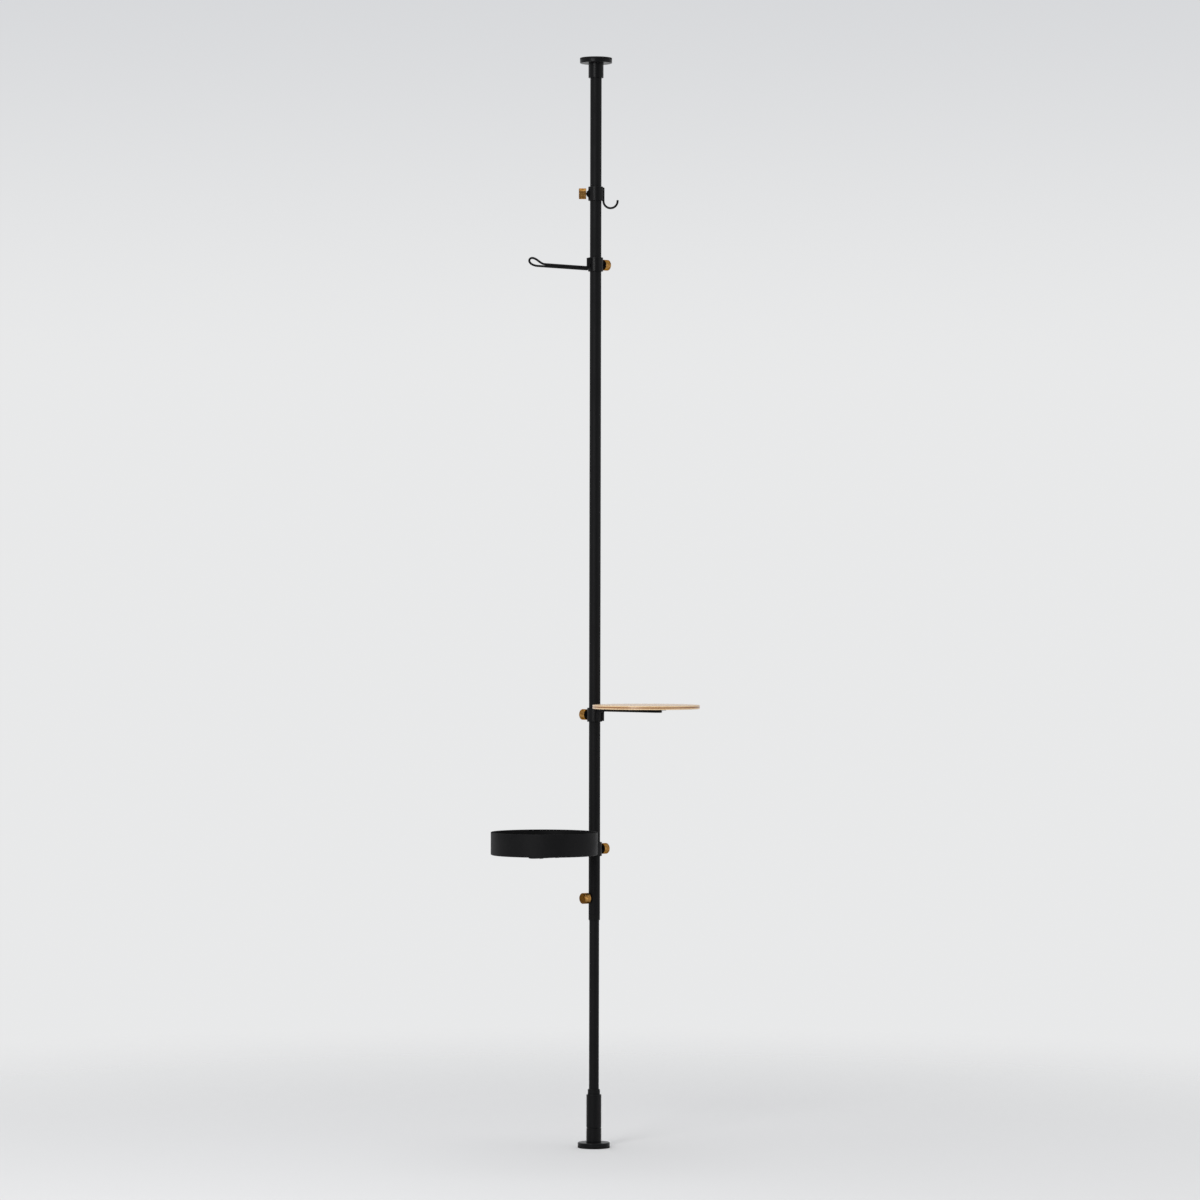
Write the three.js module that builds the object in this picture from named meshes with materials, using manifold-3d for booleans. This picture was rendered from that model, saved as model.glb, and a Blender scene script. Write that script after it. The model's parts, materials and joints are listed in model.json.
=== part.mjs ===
// A floor-to-ceiling plant pole with a hook, a hanging arm, a round shelf and a round tray.
// Lengths are millimetres and +Z is up. The origin is on the floor, on the pole's axis.
// Seen from the front, +X is to the right and -Y is nearest.

import * as THREE from "three";
import { mergeVertices } from "three/addons/utils/BufferGeometryUtils.js";
import Module from "manifold-3d";

// ---------------------------------------------------------------- driving sizes

// Air left between two pieces that seat on, fill or slide along each other.
const GAP = 0.3;

// Flat faces round a full turn of each kind of round piece.
const TUBE_FACES = 24;
const FLANGE_FACES = 48;
const DISC_FACES = 60;
const KNOB_FACES = 24;
const SCREW_FACES = 12;
const WIRE_FACES = 8;

// How finely curves are stepped.
const BEND_RING_ANGLE = Math.PI / 12; // turn between two rings of a wire's bend
const SWEEP_RINGS = 7; // rings in one sweep of the arm's eye
const PLATE_ARC_STEPS = 5;
const TRAY_CORNER_STEPS = 3;

// The two ends: a rubber pad, a flange and a cup, alike on the floor and on the ceiling.
const CEILING_HEIGHT = 2545;
const PAD_DIAMETER = 75;
const PAD_THICKNESS = 3.5;
const PAD_CHAMFER = 0.5;
const FLANGE_DIAMETER = 75;
const FLANGE_THICKNESS = 8.6;
const FLANGE_CHAMFER = 1.2;
const CUP_DIAMETER = 35.2;
const CUP_HEIGHT = 33.8;
const CUP_CHAMFER = 1;
const END_SCREW_DIAMETER = 6;
const END_SCREW_LENGTH = 17.5;
const END_SCREW_HEAD_DIAMETER = 12;
const END_SCREW_HEAD_HEIGHT = 3.4;

// The two tubes, one sliding in the other.
const MAIN_TUBE_DIAMETER = 26.6;
const MAIN_TUBE_WALL = 1.2;
const MAIN_TUBE_SOCKET_DEPTH = 24;
const LOWER_TUBE_DIAMETER = 23;
const LOWER_TUBE_WALL = 1.5;
const LOWER_TUBE_LENGTH = 820;
const LOWER_TUBE_SHOWING = 394.8;
const END_BUSH_LENGTH = 13;
const END_BUSH_CHAMFER = 1;
const GUIDE_RIM_HEIGHT = 4;
const GUIDE_SPIGOT_LENGTH = 10;
const GUIDE_WALL = 2;

// The screw jack in the foot.
const ROD_DIAMETER = 14;
const ROD_LENGTH = 81;
const ROD_SOCKET_DEPTH = 18;
const SLEEVE_DIAMETER = 35;
const SLEEVE_HEIGHT = 77.2;
const SLEEVE_WALL = 2;
const SLEEVE_CHAMFER = 0.8;
const SLEEVE_LIP = 3;
const NUT_HEIGHT = 24;
const NUT_RECESS = 1.5;
const WASHER_THICKNESS = 2;
const NECK_DIAMETER = 28.5;
const NECK_HEIGHT = 12.4;
const NECK_SKIRT = 18;
const NECK_CHAMFER = 1.5;

// The thumb-screw clamp: one on the main tube, and one on each collar.
const KNOB_DIAMETER = 25;
const KNOB_LENGTH = 17;
const KNOB_CHAMFER = 1.2;
const KNOB_RIM_CHAMFER = 0.6;
const KNOB_WALL = 2.2;
const KNOB_CAP = 3.7;
const KNOB_STANDOFF = 4.8;
const CORE_CHAMFER = 0.4;
const CLAMP_SCREW_DIAMETER = 6;
const CLAMP_SCREW_IN_CORE = 11;
const CLAMP_SCREW_CHAMFER = 0.6;
const TIP_DIAMETER = 5.2;
const TIP_LENGTH = 3;
const BOSS_HEIGHT = 3.8;
const BOSS_TIP_DIAMETER = 11;
const COLLAR_BOSS_BASE_DIAMETER = 16;
const LOCK_BOSS_BASE_DIAMETER = 13;
const LOCK_ABOVE_END = 51.6;
const LOCK_ANGLE = 216;

// The collar of each accessory, and the slit liner between it and the main tube.
const COLLAR_DIAMETER = 35.2;
const COLLAR_HEIGHT = 32.5;
const COLLAR_CHAMFER = 0.8;
const LINER_WALL = 1;
const LINER_RECESS = 0.5;
const LINER_SLIT_DEGREES = 10;

// The round wire that every accessory is bent from.
const WIRE_DIAMETER = 5;
const LEG_INSET = 1.8; // how far a wire's leg ends short of its collar's edge

// Hook: one wire, let into the collar's side.
const HOOK_BELOW_CEILING = 317;
const HOOK_ANGLE = 0;
const HOOK_LEG_PROUD = 0.45; // the leg's centre past the collar's surface
const HOOK_BEND_DIAMETER = 33;
const HOOK_BEND_DROP = 17; // the bend's centre below the collar's centre
const HOOK_TIP_RISE = 2.4;

// Arm: a doubled wire, its two runs one over the other, ending in an eye.
const ARM_BELOW_HOOK = 165.3;
const ARM_ANGLE = 224;
const ARM_REACH = 214.8;
const ARM_RUN_DROP = 10.1; // the middle of the two runs below the collar's centre
const ARM_RUN_GAP = 0.2;
const ARM_BEND_RADIUS = 5;
const EYE_LENGTH = 49.6; // from where the upper run leaves the lower one to the tip
const EYE_CREST_RISE = 12.3; // above the upper run
const EYE_CREST_SETBACK = 9.6; // behind the tip
const EYE_TIP_RISE = 10.8; // above the lower run
const EYE_SOLE_LENGTH = 26.6; // the rounded stretch from the tip back to the lower run

// Brackets of the shelf and the tray: a flat loop of wire with a screwed plate on it.
const BRACKET_SPACING = 19; // between the middles of the two runs
const BRACKET_BEND_RADIUS = 6;
const BRACKET_PAST_CENTRE = 45.8; // the loop's tip past the disc's centre
const PLATE_LENGTH = 90;
const PLATE_WIDTH = 46;
const PLATE_CORNER_RADIUS = 6;
const PLATE_SCREW_INSET_LONG = 10;
const PLATE_SCREW_INSET_WIDE = 6;
const SCREW_CROWN_SHARE = 0.6; // of a round head's width, left flat on top
const SCREW_RIM_SHARE = 0.4; // of its height, left upright at the rim

// Shelf: a round plywood disc.
const SHELF_ABOVE_TRAY = 313.5;
const SHELF_ANGLE = -43;
const SHELF_DIAMETER = 248;
const SHELF_THICKNESS = 9;
const SHELF_EDGE_CHAMFER = 0.6;
const SHELF_POLE_CLEARANCE = 25.7;
const SHELF_RUN_RISE = 10.6; // the bracket's runs above the collar's centre
const SHELF_PLATE_THICKNESS = 3;
const SHELF_SCREW_DIAMETER = 3.5;
const SHELF_SCREW_HEAD_DIAMETER = 7;
const SHELF_SCREW_HEAD_HEIGHT = 2.2;
const SHELF_SCREW_BITE = 6.5;

// Tray: a round pan pressed from sheet steel.
const TRAY_ABOVE_LOCK = 114.7;
const TRAY_ANGLE = 225;
const TRAY_DIAMETER = 248;
const TRAY_HEIGHT = 53;
const TRAY_SHEET = 1.2;
const TRAY_CORNER_RADIUS = 3;
const TRAY_POLE_CLEARANCE = 26.4;
const TRAY_RUN_DROP = 12.7; // the bracket's runs below the collar's centre
const TRAY_PLATE_THICKNESS = 1.5;
const TRAY_SCREW_DIAMETER = 4;
const TRAY_SCREW_HEAD_DIAMETER = 8.5;
const TRAY_SCREW_HEAD_HEIGHT = 2.2;
const TRAY_SCREW_SHANK = 7;

// ---------------------------------------------------------------- worked out from them

const mainRadius = MAIN_TUBE_DIAMETER / 2;
const lowerRadius = LOWER_TUBE_DIAMETER / 2;
const wireRadius = WIRE_DIAMETER / 2;
const collarRadius = COLLAR_DIAMETER / 2;
const linerRadius = mainRadius + GAP + LINER_WALL;
const clampScrewHole = CLAMP_SCREW_DIAMETER / 2 + GAP;
const endScrewHole = END_SCREW_DIAMETER / 2 + GAP;

const flangeBase = PAD_THICKNESS + GAP;
const cupBase = flangeBase + FLANGE_THICKNESS + GAP;
const cupTop = cupBase + CUP_HEIGHT;
const sleeveBase = cupTop + GAP;
const sleeveTop = sleeveBase + SLEEVE_HEIGHT;
const neckTop = sleeveTop + NECK_HEIGHT;
const nutBase = sleeveBase + NUT_RECESS;
const washerBase = nutBase + NUT_HEIGHT + GAP;
const lowerTubeBase = washerBase + WASHER_THICKNESS + GAP;
const lowerTubeTop = lowerTubeBase + LOWER_TUBE_LENGTH;
const endBushBase = neckTop + LOWER_TUBE_SHOWING;
const mainTubeBase = endBushBase + END_BUSH_LENGTH + GAP;
const mainTubeTop = CEILING_HEIGHT - cupTop + MAIN_TUBE_SOCKET_DEPTH - GAP;

const lockHeight = endBushBase + LOCK_ABOVE_END;
const trayHeight = lockHeight + TRAY_ABOVE_LOCK;
const shelfHeight = trayHeight + SHELF_ABOVE_TRAY;
const hookHeight = CEILING_HEIGHT - HOOK_BELOW_CEILING;
const armHeight = hookHeight - ARM_BELOW_HOOK;

const shelfReach = mainRadius + SHELF_POLE_CLEARANCE + SHELF_DIAMETER / 2;
const trayReach = mainRadius + TRAY_POLE_CLEARANCE + TRAY_DIAMETER / 2;

const AWAY = new THREE.Vector3(1, 0, 0);
const BACK = new THREE.Vector3(-1, 0, 0);
const SIDE = new THREE.Vector3(0, 1, 0);
const UP = new THREE.Vector3(0, 0, 1);
const DOWN = new THREE.Vector3(0, 0, -1);
const QUARTER_TURN = Math.PI / 2;
const HALF_TURN = Math.PI;

// ---------------------------------------------------------------- finishes

const BLACK_COAT = { color: 0x222225, roughness: 0.55, metalness: 0.2 };
const BRASS = { color: 0xb0823c, roughness: 0.35, metalness: 1 };
const PLYWOOD = { color: 0xe1c8af, roughness: 0.6, metalness: 0 };
const RUBBER = { color: 0x18181a, roughness: 0.9, metalness: 0 };
const NYLON = { color: 0x141416, roughness: 0.6, metalness: 0 };
const ZINC_STEEL = { color: 0xa9abae, roughness: 0.4, metalness: 1 };
const BLACK_STEEL = { color: 0x1c1c1e, roughness: 0.45, metalness: 0.6 };

function piece(name, geometry, finish) {
  const mesh = new THREE.Mesh(geometry, new THREE.MeshStandardMaterial(finish));
  mesh.name = name;
  return mesh;
}

// ---------------------------------------------------------------- solids

const wasm = await Module();
wasm.setup();
const WELD_DISTANCE = 1e-3;

function solidOf(geometry) {
  const bare = geometry.clone();
  bare.deleteAttribute("normal");
  bare.deleteAttribute("uv");
  const welded = mergeVertices(bare, WELD_DISTANCE);
  return new wasm.Manifold(
    new wasm.Mesh({
      numProp: 3,
      vertProperties: welded.attributes.position.array,
      triVerts: new Uint32Array(welded.index.array),
    }),
  );
}

function geometryOf(solid) {
  const mesh = solid.getMesh();
  const geometry = new THREE.BufferGeometry();
  const positions = new Float32Array(mesh.vertProperties);
  geometry.setAttribute("position", new THREE.BufferAttribute(positions, 3));
  geometry.setIndex(new THREE.BufferAttribute(new Uint32Array(mesh.triVerts), 1));
  geometry.computeVertexNormals();
  return geometry;
}

// `body` with each of the `cutters` taken out of it.
function cut(body, cutters) {
  const cutOut = (solid, cutter) => solid.subtract(solidOf(cutter));
  return geometryOf(cutters.reduce(cutOut, solidOf(body)));
}

// A profile of [radius, height] corners, anticlockwise, turned about the Z axis.
function turned(profile, faces) {
  const corners = profile.map(([radius, height]) => new THREE.Vector2(radius, height));
  return new THREE.LatheGeometry(corners, faces).rotateX(QUARTER_TURN);
}

// As `turned`, for a profile that closes on itself and leaves a hole on the axis.
function turnedRing(profile, faces) {
  return turned([...profile, profile[0]], faces);
}

function ring(outer, inner, base, top, faces) {
  const profile = [
    [inner, base],
    [outer, base],
    [outer, top],
    [inner, top],
  ];
  return turnedRing(profile, faces);
}

// A plain rod on the Z axis from `base` to `top`.
function rod(radius, base, top, faces) {
  const profile = [
    [0, base],
    [radius, base],
    [radius, top],
    [0, top],
  ];
  return turned(profile, faces);
}

// Turns a shape that stands on the Z axis so that it points along -X, where a clamp sits.
function pointBack(geometry) {
  return geometry.rotateY(-QUARTER_TURN);
}

// ---------------------------------------------------------------- bent wire

// A wire's centreline, made as a bender does it: feed straight, bend, feed on. Each ring is
// a place where the round section is set, so straight stretches cost one ring at each end.
class BentWire extends THREE.Curve {
  constructor(start, heading) {
    super();
    this.rings = [{ point: start.clone(), tangent: heading.clone() }];
  }

  get end() {
    return this.rings[this.rings.length - 1];
  }

  feed(length) {
    const { point, tangent } = this.end;
    const next = point.clone().addScaledVector(tangent, length);
    this.rings.push({ point: next, tangent: tangent.clone() });
    return this;
  }

  bend(toward, radius, angle) {
    const { point, tangent } = this.end;
    const steps = Math.round(angle / BEND_RING_ANGLE);
    for (let step = 1; step <= steps; step += 1) {
      const turn = (angle * step) / steps;
      const next = point
        .clone()
        .addScaledVector(tangent, radius * Math.sin(turn))
        .addScaledVector(toward, radius * (1 - Math.cos(turn)));
      const heading = tangent
        .clone()
        .multiplyScalar(Math.cos(turn))
        .addScaledVector(toward, Math.sin(turn));
      this.rings.push({ point: next, tangent: heading.normalize() });
    }
    return this;
  }

  // A smooth sweep to `point`, arriving along `heading`. The pulls say how far the wire
  // keeps its old heading and how early it takes up the new one.
  sweepTo(point, heading, pullOut, pullIn) {
    const from = this.end;
    const sweep = new THREE.CubicBezierCurve3(
      from.point,
      from.point.clone().addScaledVector(from.tangent, pullOut),
      point.clone().addScaledVector(heading, -pullIn),
      point,
    );
    for (let ring = 1; ring <= SWEEP_RINGS; ring += 1) {
      const t = ring / SWEEP_RINGS;
      this.rings.push({ point: sweep.getPoint(t), tangent: sweep.getTangent(t) });
    }
    return this;
  }

  ringAt(u) {
    return this.rings[Math.round(u * (this.rings.length - 1))];
  }

  getPoint(t, target = new THREE.Vector3()) {
    return target.copy(this.ringAt(t).point);
  }

  getPointAt(u, target = new THREE.Vector3()) {
    return target.copy(this.ringAt(u).point);
  }

  getTangentAt(u, target = new THREE.Vector3()) {
    return target.copy(this.ringAt(u).tangent);
  }

  geometry() {
    const section = [];
    for (let face = 0; face < WIRE_FACES; face += 1) {
      const angle = (2 * Math.PI * face) / WIRE_FACES;
      section.push(new THREE.Vector2(Math.cos(angle), Math.sin(angle)));
      section[face].multiplyScalar(wireRadius);
    }
    const options = {
      steps: this.rings.length - 1,
      extrudePath: this,
      bevelEnabled: false,
    };
    return new THREE.ExtrudeGeometry(new THREE.Shape(section), options);
  }
}

// ---------------------------------------------------------------- the two ends

function endPad(name) {
  const radius = PAD_DIAMETER / 2;
  const profile = [
    [0, 0],
    [radius - PAD_CHAMFER, 0],
    [radius, PAD_CHAMFER],
    [radius, PAD_THICKNESS],
    [0, PAD_THICKNESS],
  ];
  return piece(name, turned(profile, FLANGE_FACES), RUBBER);
}

// The flange's hole is countersunk for the screw that comes in from the pad's side.
function endFlange(name) {
  const radius = FLANGE_DIAMETER / 2;
  const countersink = END_SCREW_HEAD_DIAMETER / 2 + GAP;
  const profile = [
    [countersink, 0],
    [radius - FLANGE_CHAMFER / 2, 0],
    [radius, FLANGE_CHAMFER / 2],
    [radius, FLANGE_THICKNESS - FLANGE_CHAMFER],
    [radius - FLANGE_CHAMFER, FLANGE_THICKNESS],
    [endScrewHole, FLANGE_THICKNESS],
    [endScrewHole, END_SCREW_HEAD_HEIGHT],
  ];
  const mesh = piece(name, turnedRing(profile, FLANGE_FACES), BLACK_COAT);
  mesh.position.z = flangeBase;
  return mesh;
}

function endScrew(name) {
  const head = END_SCREW_HEAD_DIAMETER / 2;
  const shank = END_SCREW_DIAMETER / 2;
  const profile = [
    [0, 0],
    [head, 0],
    [shank, END_SCREW_HEAD_HEIGHT],
    [shank, END_SCREW_LENGTH],
    [0, END_SCREW_LENGTH],
  ];
  const mesh = piece(name, turned(profile, SCREW_FACES), ZINC_STEEL);
  mesh.position.z = flangeBase;
  return mesh;
}

// A cup standing on its flange. Its socket takes the main tube or the jack's rod.
function endCup(name, socketRadius, socketDepth) {
  const radius = CUP_DIAMETER / 2;
  const socketFloor = CUP_HEIGHT - socketDepth;
  const profile = [
    [endScrewHole, 0],
    [radius, 0],
    [radius, CUP_HEIGHT - CUP_CHAMFER],
    [radius - CUP_CHAMFER, CUP_HEIGHT],
    [socketRadius, CUP_HEIGHT],
    [socketRadius, socketFloor],
    [endScrewHole, socketFloor],
  ];
  const mesh = piece(name, turnedRing(profile, TUBE_FACES), BLACK_COAT);
  mesh.position.z = cupBase;
  return mesh;
}

function footEnd() {
  const end = new THREE.Group();
  end.add(endPad("foot_pad"));
  end.add(endFlange("foot_flange"));
  end.add(endScrew("foot_screw"));
  end.add(endCup("foot_cup", ROD_DIAMETER / 2 + GAP, ROD_SOCKET_DEPTH));
  return end;
}

function ceilingEnd() {
  const end = new THREE.Group();
  end.add(endPad("ceiling_pad"));
  end.add(endFlange("ceiling_flange"));
  end.add(endScrew("ceiling_screw"));
  end.add(endCup("ceiling_cup", mainRadius + GAP, MAIN_TUBE_SOCKET_DEPTH));
  end.position.z = CEILING_HEIGHT;
  end.rotation.x = HALF_TURN;
  return end;
}

// ---------------------------------------------------------------- the screw jack

// Turning the sleeve drives its nut up the fixed rod, and the nut lifts the lower tube.
function screwJack() {
  const jack = new THREE.Group();
  const rodRadius = ROD_DIAMETER / 2;
  const rodBase = cupTop - ROD_SOCKET_DEPTH + GAP;
  const rodSolid = rod(rodRadius, rodBase, rodBase + ROD_LENGTH, TUBE_FACES);
  jack.add(piece("jack_rod", rodSolid, ZINC_STEEL));

  const outside = SLEEVE_DIAMETER / 2;
  const bore = outside - SLEEVE_WALL;
  const neckRadius = NECK_DIAMETER / 2;
  const sleeveProfile = [
    [bore, sleeveBase],
    [outside - SLEEVE_CHAMFER, sleeveBase],
    [outside, sleeveBase + SLEEVE_CHAMFER],
    [outside, sleeveTop - SLEEVE_CHAMFER],
    [outside - SLEEVE_CHAMFER, sleeveTop],
    [neckRadius + GAP, sleeveTop],
    [neckRadius + GAP, sleeveTop - SLEEVE_LIP],
    [bore, sleeveTop - SLEEVE_LIP],
  ];
  jack.add(piece("adjuster_sleeve", turnedRing(sleeveProfile, TUBE_FACES), BLACK_COAT));

  const nut = ring(bore - GAP, rodRadius + GAP, nutBase, nutBase + NUT_HEIGHT, TUBE_FACES);
  jack.add(piece("jack_nut", nut, BRASS));

  const washerTop = washerBase + WASHER_THICKNESS;
  const washer = ring(bore - 2 * GAP, rodRadius + 2 * GAP, washerBase, washerTop, TUBE_FACES);
  jack.add(piece("thrust_washer", washer, NYLON));

  const skirtTop = sleeveTop - SLEEVE_LIP - GAP;
  const neckProfile = [
    [lowerRadius + GAP, skirtTop - NECK_SKIRT],
    [bore - GAP, skirtTop - NECK_SKIRT],
    [bore - GAP, skirtTop],
    [neckRadius, skirtTop],
    [neckRadius, neckTop - NECK_CHAMFER],
    [neckRadius - NECK_CHAMFER, neckTop],
    [lowerRadius + GAP, neckTop],
  ];
  jack.add(piece("neck_bush", turnedRing(neckProfile, TUBE_FACES), NYLON));
  return jack;
}

// ---------------------------------------------------------------- the thumb-screw clamp

// Knob, core, screw and tip on the Z axis, pointing outwards from the pole's axis. The tip
// ends just off `heldRadius`, and the knob stands off `surfaceRadius`.
function thumbClamp(owner, heldRadius, surfaceRadius) {
  const clamp = new THREE.Group();
  const knobRadius = KNOB_DIAMETER / 2;
  const cavity = knobRadius - KNOB_WALL;
  const cavityDepth = KNOB_LENGTH - KNOB_CAP;
  const knobFace = surfaceRadius + KNOB_STANDOFF;
  const knobProfile = [
    [0, cavityDepth],
    [cavity, cavityDepth],
    [cavity, 0],
    [knobRadius - KNOB_RIM_CHAMFER, 0],
    [knobRadius, KNOB_RIM_CHAMFER],
    [knobRadius, KNOB_LENGTH - KNOB_CHAMFER],
    [knobRadius - KNOB_CHAMFER, KNOB_LENGTH],
    [0, KNOB_LENGTH],
  ];
  const knob = piece(`${owner}_knob`, turned(knobProfile, KNOB_FACES), BRASS);
  knob.position.z = knobFace;
  clamp.add(knob);

  const coreRadius = cavity - GAP;
  const coreLength = cavityDepth - GAP;
  const coreHole = CLAMP_SCREW_IN_CORE + GAP;
  const coreProfile = [
    [0, coreHole],
    [clampScrewHole, coreHole],
    [clampScrewHole, 0],
    [coreRadius - CORE_CHAMFER, 0],
    [coreRadius, CORE_CHAMFER],
    [coreRadius, coreLength],
    [0, coreLength],
  ];
  const core = piece(`${owner}_knob_core`, turned(coreProfile, KNOB_FACES), NYLON);
  core.position.z = knobFace;
  clamp.add(core);

  const tipBase = heldRadius + GAP;
  const tipTop = tipBase + TIP_LENGTH;
  const tip = rod(TIP_DIAMETER / 2, tipBase, tipTop, SCREW_FACES);
  clamp.add(piece(`${owner}_screw_tip`, tip, NYLON));

  const screwBase = tipTop + GAP;
  const screwRadius = CLAMP_SCREW_DIAMETER / 2;
  const screwProfile = [
    [0, screwBase],
    [screwRadius - CLAMP_SCREW_CHAMFER, screwBase],
    [screwRadius, screwBase + CLAMP_SCREW_CHAMFER],
    [screwRadius, knobFace + CLAMP_SCREW_IN_CORE],
    [0, knobFace + CLAMP_SCREW_IN_CORE],
  ];
  const screw = turned(screwProfile, SCREW_FACES);
  clamp.add(piece(`${owner}_clamp_screw`, screw, BLACK_STEEL));
  clamp.rotation.y = -QUARTER_TURN;
  return clamp;
}

// A tapered boss on the Z axis, from `base` out to its tip.
function bossCone(baseRadius, base, surfaceRadius) {
  const tip = surfaceRadius + BOSS_HEIGHT;
  const profile = [
    [0, base],
    [baseRadius, base],
    [BOSS_TIP_DIAMETER / 2, tip],
    [0, tip],
  ];
  return turned(profile, KNOB_FACES);
}

function clampHole() {
  const farOut = collarRadius + KNOB_STANDOFF + KNOB_LENGTH;
  return pointBack(rod(clampScrewHole, 0, farOut, SCREW_FACES));
}

// ---------------------------------------------------------------- the two tubes

function lowerPole() {
  const pole = new THREE.Group();
  const bore = lowerRadius - LOWER_TUBE_WALL;
  const tube = ring(lowerRadius, bore, lowerTubeBase, lowerTubeTop, TUBE_FACES);
  pole.add(piece("lower_tube", tube, BLACK_COAT));

  // The guide caps the tube's upper end and keeps it central in the main tube.
  const rim = mainRadius - MAIN_TUBE_WALL - GAP;
  const rimBase = lowerTubeTop + GAP;
  const spigot = bore - GAP;
  const guideProfile = [
    [spigot - GUIDE_WALL, rimBase - GUIDE_SPIGOT_LENGTH],
    [spigot, rimBase - GUIDE_SPIGOT_LENGTH],
    [spigot, rimBase],
    [rim, rimBase],
    [rim, rimBase + GUIDE_RIM_HEIGHT],
    [spigot - GUIDE_WALL, rimBase + GUIDE_RIM_HEIGHT],
  ];
  pole.add(piece("tube_guide", turnedRing(guideProfile, TUBE_FACES), NYLON));
  return pole;
}

function mainPole() {
  const pole = new THREE.Group();
  const bore = mainRadius - MAIN_TUBE_WALL;
  const lockTurn = THREE.MathUtils.degToRad(LOCK_ANGLE) - HALF_TURN;
  const placeAtLock = (geometry) => geometry.rotateZ(lockTurn).translate(0, 0, lockHeight);

  const tube = ring(mainRadius, bore, mainTubeBase, mainTubeTop, TUBE_FACES);
  const drilled = cut(tube, [placeAtLock(clampHole())]);
  pole.add(piece("main_tube", drilled, BLACK_COAT));

  const bushTop = endBushBase + END_BUSH_LENGTH;
  const bushProfile = [
    [lowerRadius + GAP, endBushBase],
    [mainRadius - END_BUSH_CHAMFER, endBushBase],
    [mainRadius, endBushBase + END_BUSH_CHAMFER],
    [mainRadius, bushTop],
    [lowerRadius + GAP, bushTop],
  ];
  pole.add(piece("tube_end_bush", turnedRing(bushProfile, TUBE_FACES), NYLON));

  // The lock's boss is hollowed underneath to sit on the round tube.
  const cone = pointBack(bossCone(LOCK_BOSS_BASE_DIAMETER / 2, bore, mainRadius));
  const saddle = rod(mainRadius + GAP, -KNOB_DIAMETER, KNOB_DIAMETER, TUBE_FACES);
  const boss = placeAtLock(cut(cone, [saddle.rotateZ(-lockTurn), clampHole()]));
  pole.add(piece("lock_boss", boss, BLACK_COAT));

  const lock = new THREE.Group();
  lock.add(thumbClamp("lock", lowerRadius, mainRadius));
  lock.position.z = lockHeight;
  lock.rotation.z = lockTurn;
  pole.add(lock);
  return pole;
}

// ---------------------------------------------------------------- collars

// A collar on its liner, with its clamp at the back. `grooves` are cut into its outside.
function collarSet(owner, grooves = []) {
  const set = new THREE.Group();
  const bore = linerRadius + GAP;
  const half = COLLAR_HEIGHT / 2;
  const band = turnedRing(
    [
      [bore, -half],
      [collarRadius - COLLAR_CHAMFER, -half],
      [collarRadius, COLLAR_CHAMFER - half],
      [collarRadius, half - COLLAR_CHAMFER],
      [collarRadius - COLLAR_CHAMFER, half],
      [bore, half],
    ],
    TUBE_FACES,
  );
  const insideTheBand = bore + GAP;
  const cone = pointBack(
    bossCone(COLLAR_BOSS_BASE_DIAMETER / 2, insideTheBand, collarRadius),
  );
  const joined = geometryOf(solidOf(band).add(solidOf(cone)));
  set.add(piece(`${owner}_collar`, cut(joined, [clampHole(), ...grooves]), BLACK_COAT));
  set.add(piece(`${owner}_liner`, slitLiner(half - LINER_RECESS), NYLON));
  set.add(thumbClamp(owner, linerRadius, collarRadius));
  return set;
}

// A thin sleeve with a slit down one side, so that the clamp can close it on the tube.
function slitLiner(halfHeight) {
  const slit = THREE.MathUtils.degToRad(LINER_SLIT_DEGREES) / 2;
  const start = QUARTER_TURN + slit;
  const sweep = 2 * Math.PI - 2 * slit;
  const outline = [];
  for (let face = 0; face <= TUBE_FACES; face += 1) {
    const angle = start + (sweep * face) / TUBE_FACES;
    outline.push(new THREE.Vector2(Math.cos(angle), Math.sin(angle)));
  }
  const outside = outline.map((corner) => corner.clone().multiplyScalar(linerRadius));
  const inside = outline.map((corner) => corner.clone().multiplyScalar(mainRadius + GAP));
  const shape = new THREE.Shape([...outside, ...inside.reverse()]);
  const options = { depth: 2 * halfHeight, bevelEnabled: false };
  return new THREE.ExtrudeGeometry(shape, options).translate(0, 0, -halfHeight);
}

// An accessory's own frame: +X points the way it reaches, and the origin is mid-collar.
function accessory(height, angle, parts) {
  const group = new THREE.Group();
  group.add(...parts);
  group.position.z = height;
  group.rotation.z = THREE.MathUtils.degToRad(angle);
  return group;
}

// ---------------------------------------------------------------- hook

function hook() {
  const legRadius = collarRadius + HOOK_LEG_PROUD;
  const legTop = COLLAR_HEIGHT / 2 - LEG_INSET;
  const wire = new BentWire(new THREE.Vector3(legRadius, 0, legTop), DOWN)
    .feed(legTop + HOOK_BEND_DROP)
    .bend(AWAY, HOOK_BEND_DIAMETER / 2, HALF_TURN)
    .feed(HOOK_TIP_RISE);
  const groove = rod(wireRadius + GAP, -COLLAR_HEIGHT, COLLAR_HEIGHT, SCREW_FACES);
  groove.translate(legRadius, 0, 0);
  const parts = [
    collarSet("hook", [groove]),
    piece("hook_wire", wire.geometry(), BLACK_COAT),
  ];
  return accessory(hookHeight, HOOK_ANGLE, parts);
}

// ---------------------------------------------------------------- hanging arm

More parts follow.
